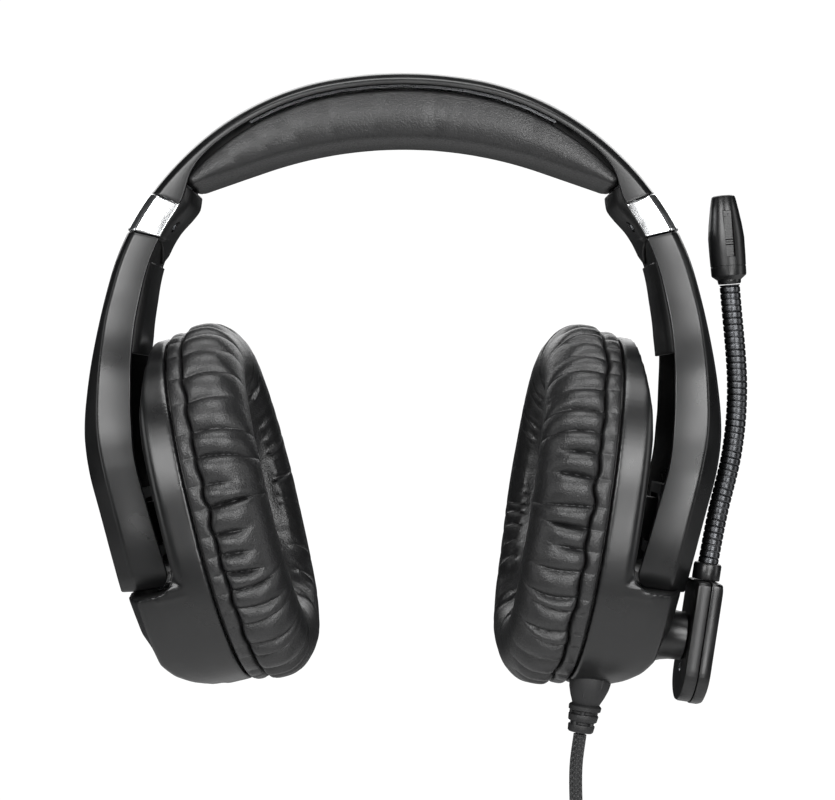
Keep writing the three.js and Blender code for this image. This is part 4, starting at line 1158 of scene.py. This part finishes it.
def remote_and_plug():
    x, y = 51, REMOTE_Y
    bottom = REMOTE_TOP - REMOTE_LENGTH
    half = REMOTE_WIDTH / 2
    front = soft_box("remote_front_case", (x - half, x + half), (y - REMOTE_DEPTH / 2, y - 0.15),
                     (bottom, REMOTE_TOP),
                     1.6, "plastic")
    back = soft_box("remote_back_case", (x - half, x + half), (y + 0.15, y + REMOTE_DEPTH / 2),
                    (bottom, REMOTE_TOP),
                    1.6, "plastic")
    for case, depth in ((front, (y - 2.2, y + 1)), (back, (y - 1, y + 2.2))):
        slot = soft_box("slot", (x + half - 4, x + half + 3), depth, (-280.6, -265.4), 0.3, "plastic")
        boolean(case, [slot], "DIFFERENCE")
    opening = soft_box("opening", (x - 2.6, x + 2.6), (y + 2.2, y + 9), (-302.4, -291.6), 0.3, "plastic")
    boolean(back, [opening], "DIFFERENCE")
    for k in range(3):
        groove = soft_box("groove", (x - 5, x + 5), (y - 6, y - REMOTE_DEPTH / 2 + 0.35),
                          (bottom + 8 + 2 * k, bottom + 8.8 + 2 * k), 0.1, "plastic")
        boolean(front, [groove], "DIFFERENCE")
    for case in (front, back):
        shade(case, 35)
    made = [(front, "plastic", ["remote_front"], "right_cup"),
            (back, "plastic", ["remote_back"], "right_cup")]
    teeth = 36
    rings = []
    for level, size in ((-1.5, 0.94), (-1.2, 1), (1.2, 1), (1.5, 0.94)):
        ring = []
        for k in range(teeth * 4):
            a = 2 * math.pi * k / (teeth * 4)
            r = 8 * size * (1 if k % 4 < 2 else 0.955)
            ring.append((53.2 + r * math.cos(a), y + level, -273 + r * math.sin(a)))
        rings.append(ring)
    points, faces = skin(rings)
    made.append((piece("volume_thumbwheel", points, faces, "rubber", 25), "rubber", ["volume_wheel"],
                 "volume_wheel"))
    switch = soft_box("mute_slider", (x - 2, x + 2), (y + 3.1, y + REMOTE_DEPTH / 2 + 1.2), (-300.5, -293.5),
                      0.5, "plastic")
    for k in range(3):
        rib = soft_box("rib", (x - 1.6, x + 1.6), (y + REMOTE_DEPTH / 2 + 1.0, y + REMOTE_DEPTH / 2 + 1.5),
                       (-299.3 + k * 1.9, -298.5 + k * 1.9), 0.1, "plastic")
        boolean(switch, [rib], "UNION")
    shade(switch, 35)
    made.append((switch, "plastic", ["mute_switch"], "mute_switch"))
    low = PLUG_TOP - 22
    body = [(0.02, low), (3.9, low), (4.35, low + 1), (4.4, low + 2)]
    for k in range(5):
        z = low + 4 + k * 2
        body += [(4.4, z), (4.1, z + 0.3), (4.1, z + 0.9), (4.4, z + 1.2)]
    body += [(4.3, PLUG_TOP - 7), (3.2, PLUG_TOP - 3), (2.6, PLUG_TOP), (0.02, PLUG_TOP)]
    made.append((turned("plug_grip", (x, y, 0), (0, 0, 1), body, 40, "rubber"), "rubber", ["plug_body"],
                 "right_cup"))
    end = low - 0.3
    pin = [(0.02, end - 14), (0.8, end - 13.8), (1.75, end - 12.4), (1.75, end - 12), (1.25, end - 11),
           (1.75, end - 10.2),
           (1.75, end - 7.2), (1.62, end - 7.1), (1.62, end - 6.6), (1.75, end - 6.5), (1.75, end - 4),
           (1.62, end - 3.9),
           (1.62, end - 3.4), (1.75, end - 3.3), (1.75, end - 0.9), (2.6, end - 0.8), (2.6, end), (0.02, end)]
    made.append((turned("plug_pin", (x, y, 0), (0, 0, 1), pin, 32, "gold"), "gold", ["plug_contacts"],
                 "right_cup"))
    for obj, slot_name, nodes, body_name in made:
        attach(obj, body_name)
        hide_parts(*nodes)
    return [item[0] for item in made]


def cable():
    relief = strain_relief()
    route = cord_route()
    cord = braided_tube("braided_cable", route, CORD_RADIUS)
    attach(cord, "right_cup")
    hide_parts("cable_lead", "cable_hank", "cable_tail", "cable_end")
    tie = hank_tie()
    pieces = remote_and_plug()


def hank_tie():
    """A hook-and-loop strap pulled round the middle of the hank, with its end lapped over."""
    outline = []
    for grow in (0.35, 1.35):
        corners = [(37 - grow, -9.6 - grow), (65 + grow, -9.6 - grow), (65 + grow, 12 + grow),
                   (37 - grow, 12 + grow)]
        outline.append(rounded(corners, 4.5, 8))
    loops = [(outline[0], -272), (outline[1], -272), (outline[1], -260), (outline[0], -260)]
    ring_points = [[(px, py, z) for px, py in loop] for loop, z in loops]
    points, faces = skin(ring_points, caps=False, closed=True)
    tie = piece("cable_strap", points, faces, "rubber", 40)
    lap = soft_box("lap", (44, 60), (-12.2, -10.6), (-271.6, -260.4), 0.4, "rubber")
    boolean(tie, [lap], "UNION")
    shade(tie, 40)
    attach(tie, "right_cup")
    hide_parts("cable_tie")
    return tie


# ---------------------------------------------------------------- carried-over CAD nodes


def cad_nodes():
    """The inner pieces keep their CAD shape, with small edge radii and the record's material."""
    slots = {entry["node"]: entry["material_slot"] for entry in frame["record"]["subparts"]}
    for name, obj in frame["nodes"].items():
        material = MATERIALS[slots[name]]
        if obj.material_slots:
            for holder in obj.material_slots:
                holder.material = material
        modifier(obj, "BEVEL", width=0.15 * MM, segments=2, limit_method="ANGLE",
                 angle_limit=math.radians(40))


camera()
studio()
floor()
cable()
headband_shell()
headband_pad()
for which in SIDES:
    trims_and_guides(which)
    arm(which)
    cup_shell(which)
    ear_pad(which)
    grille_cloth(which)
boom_base()
mic_stub()
mic_head(gooseneck())
cad_nodes()
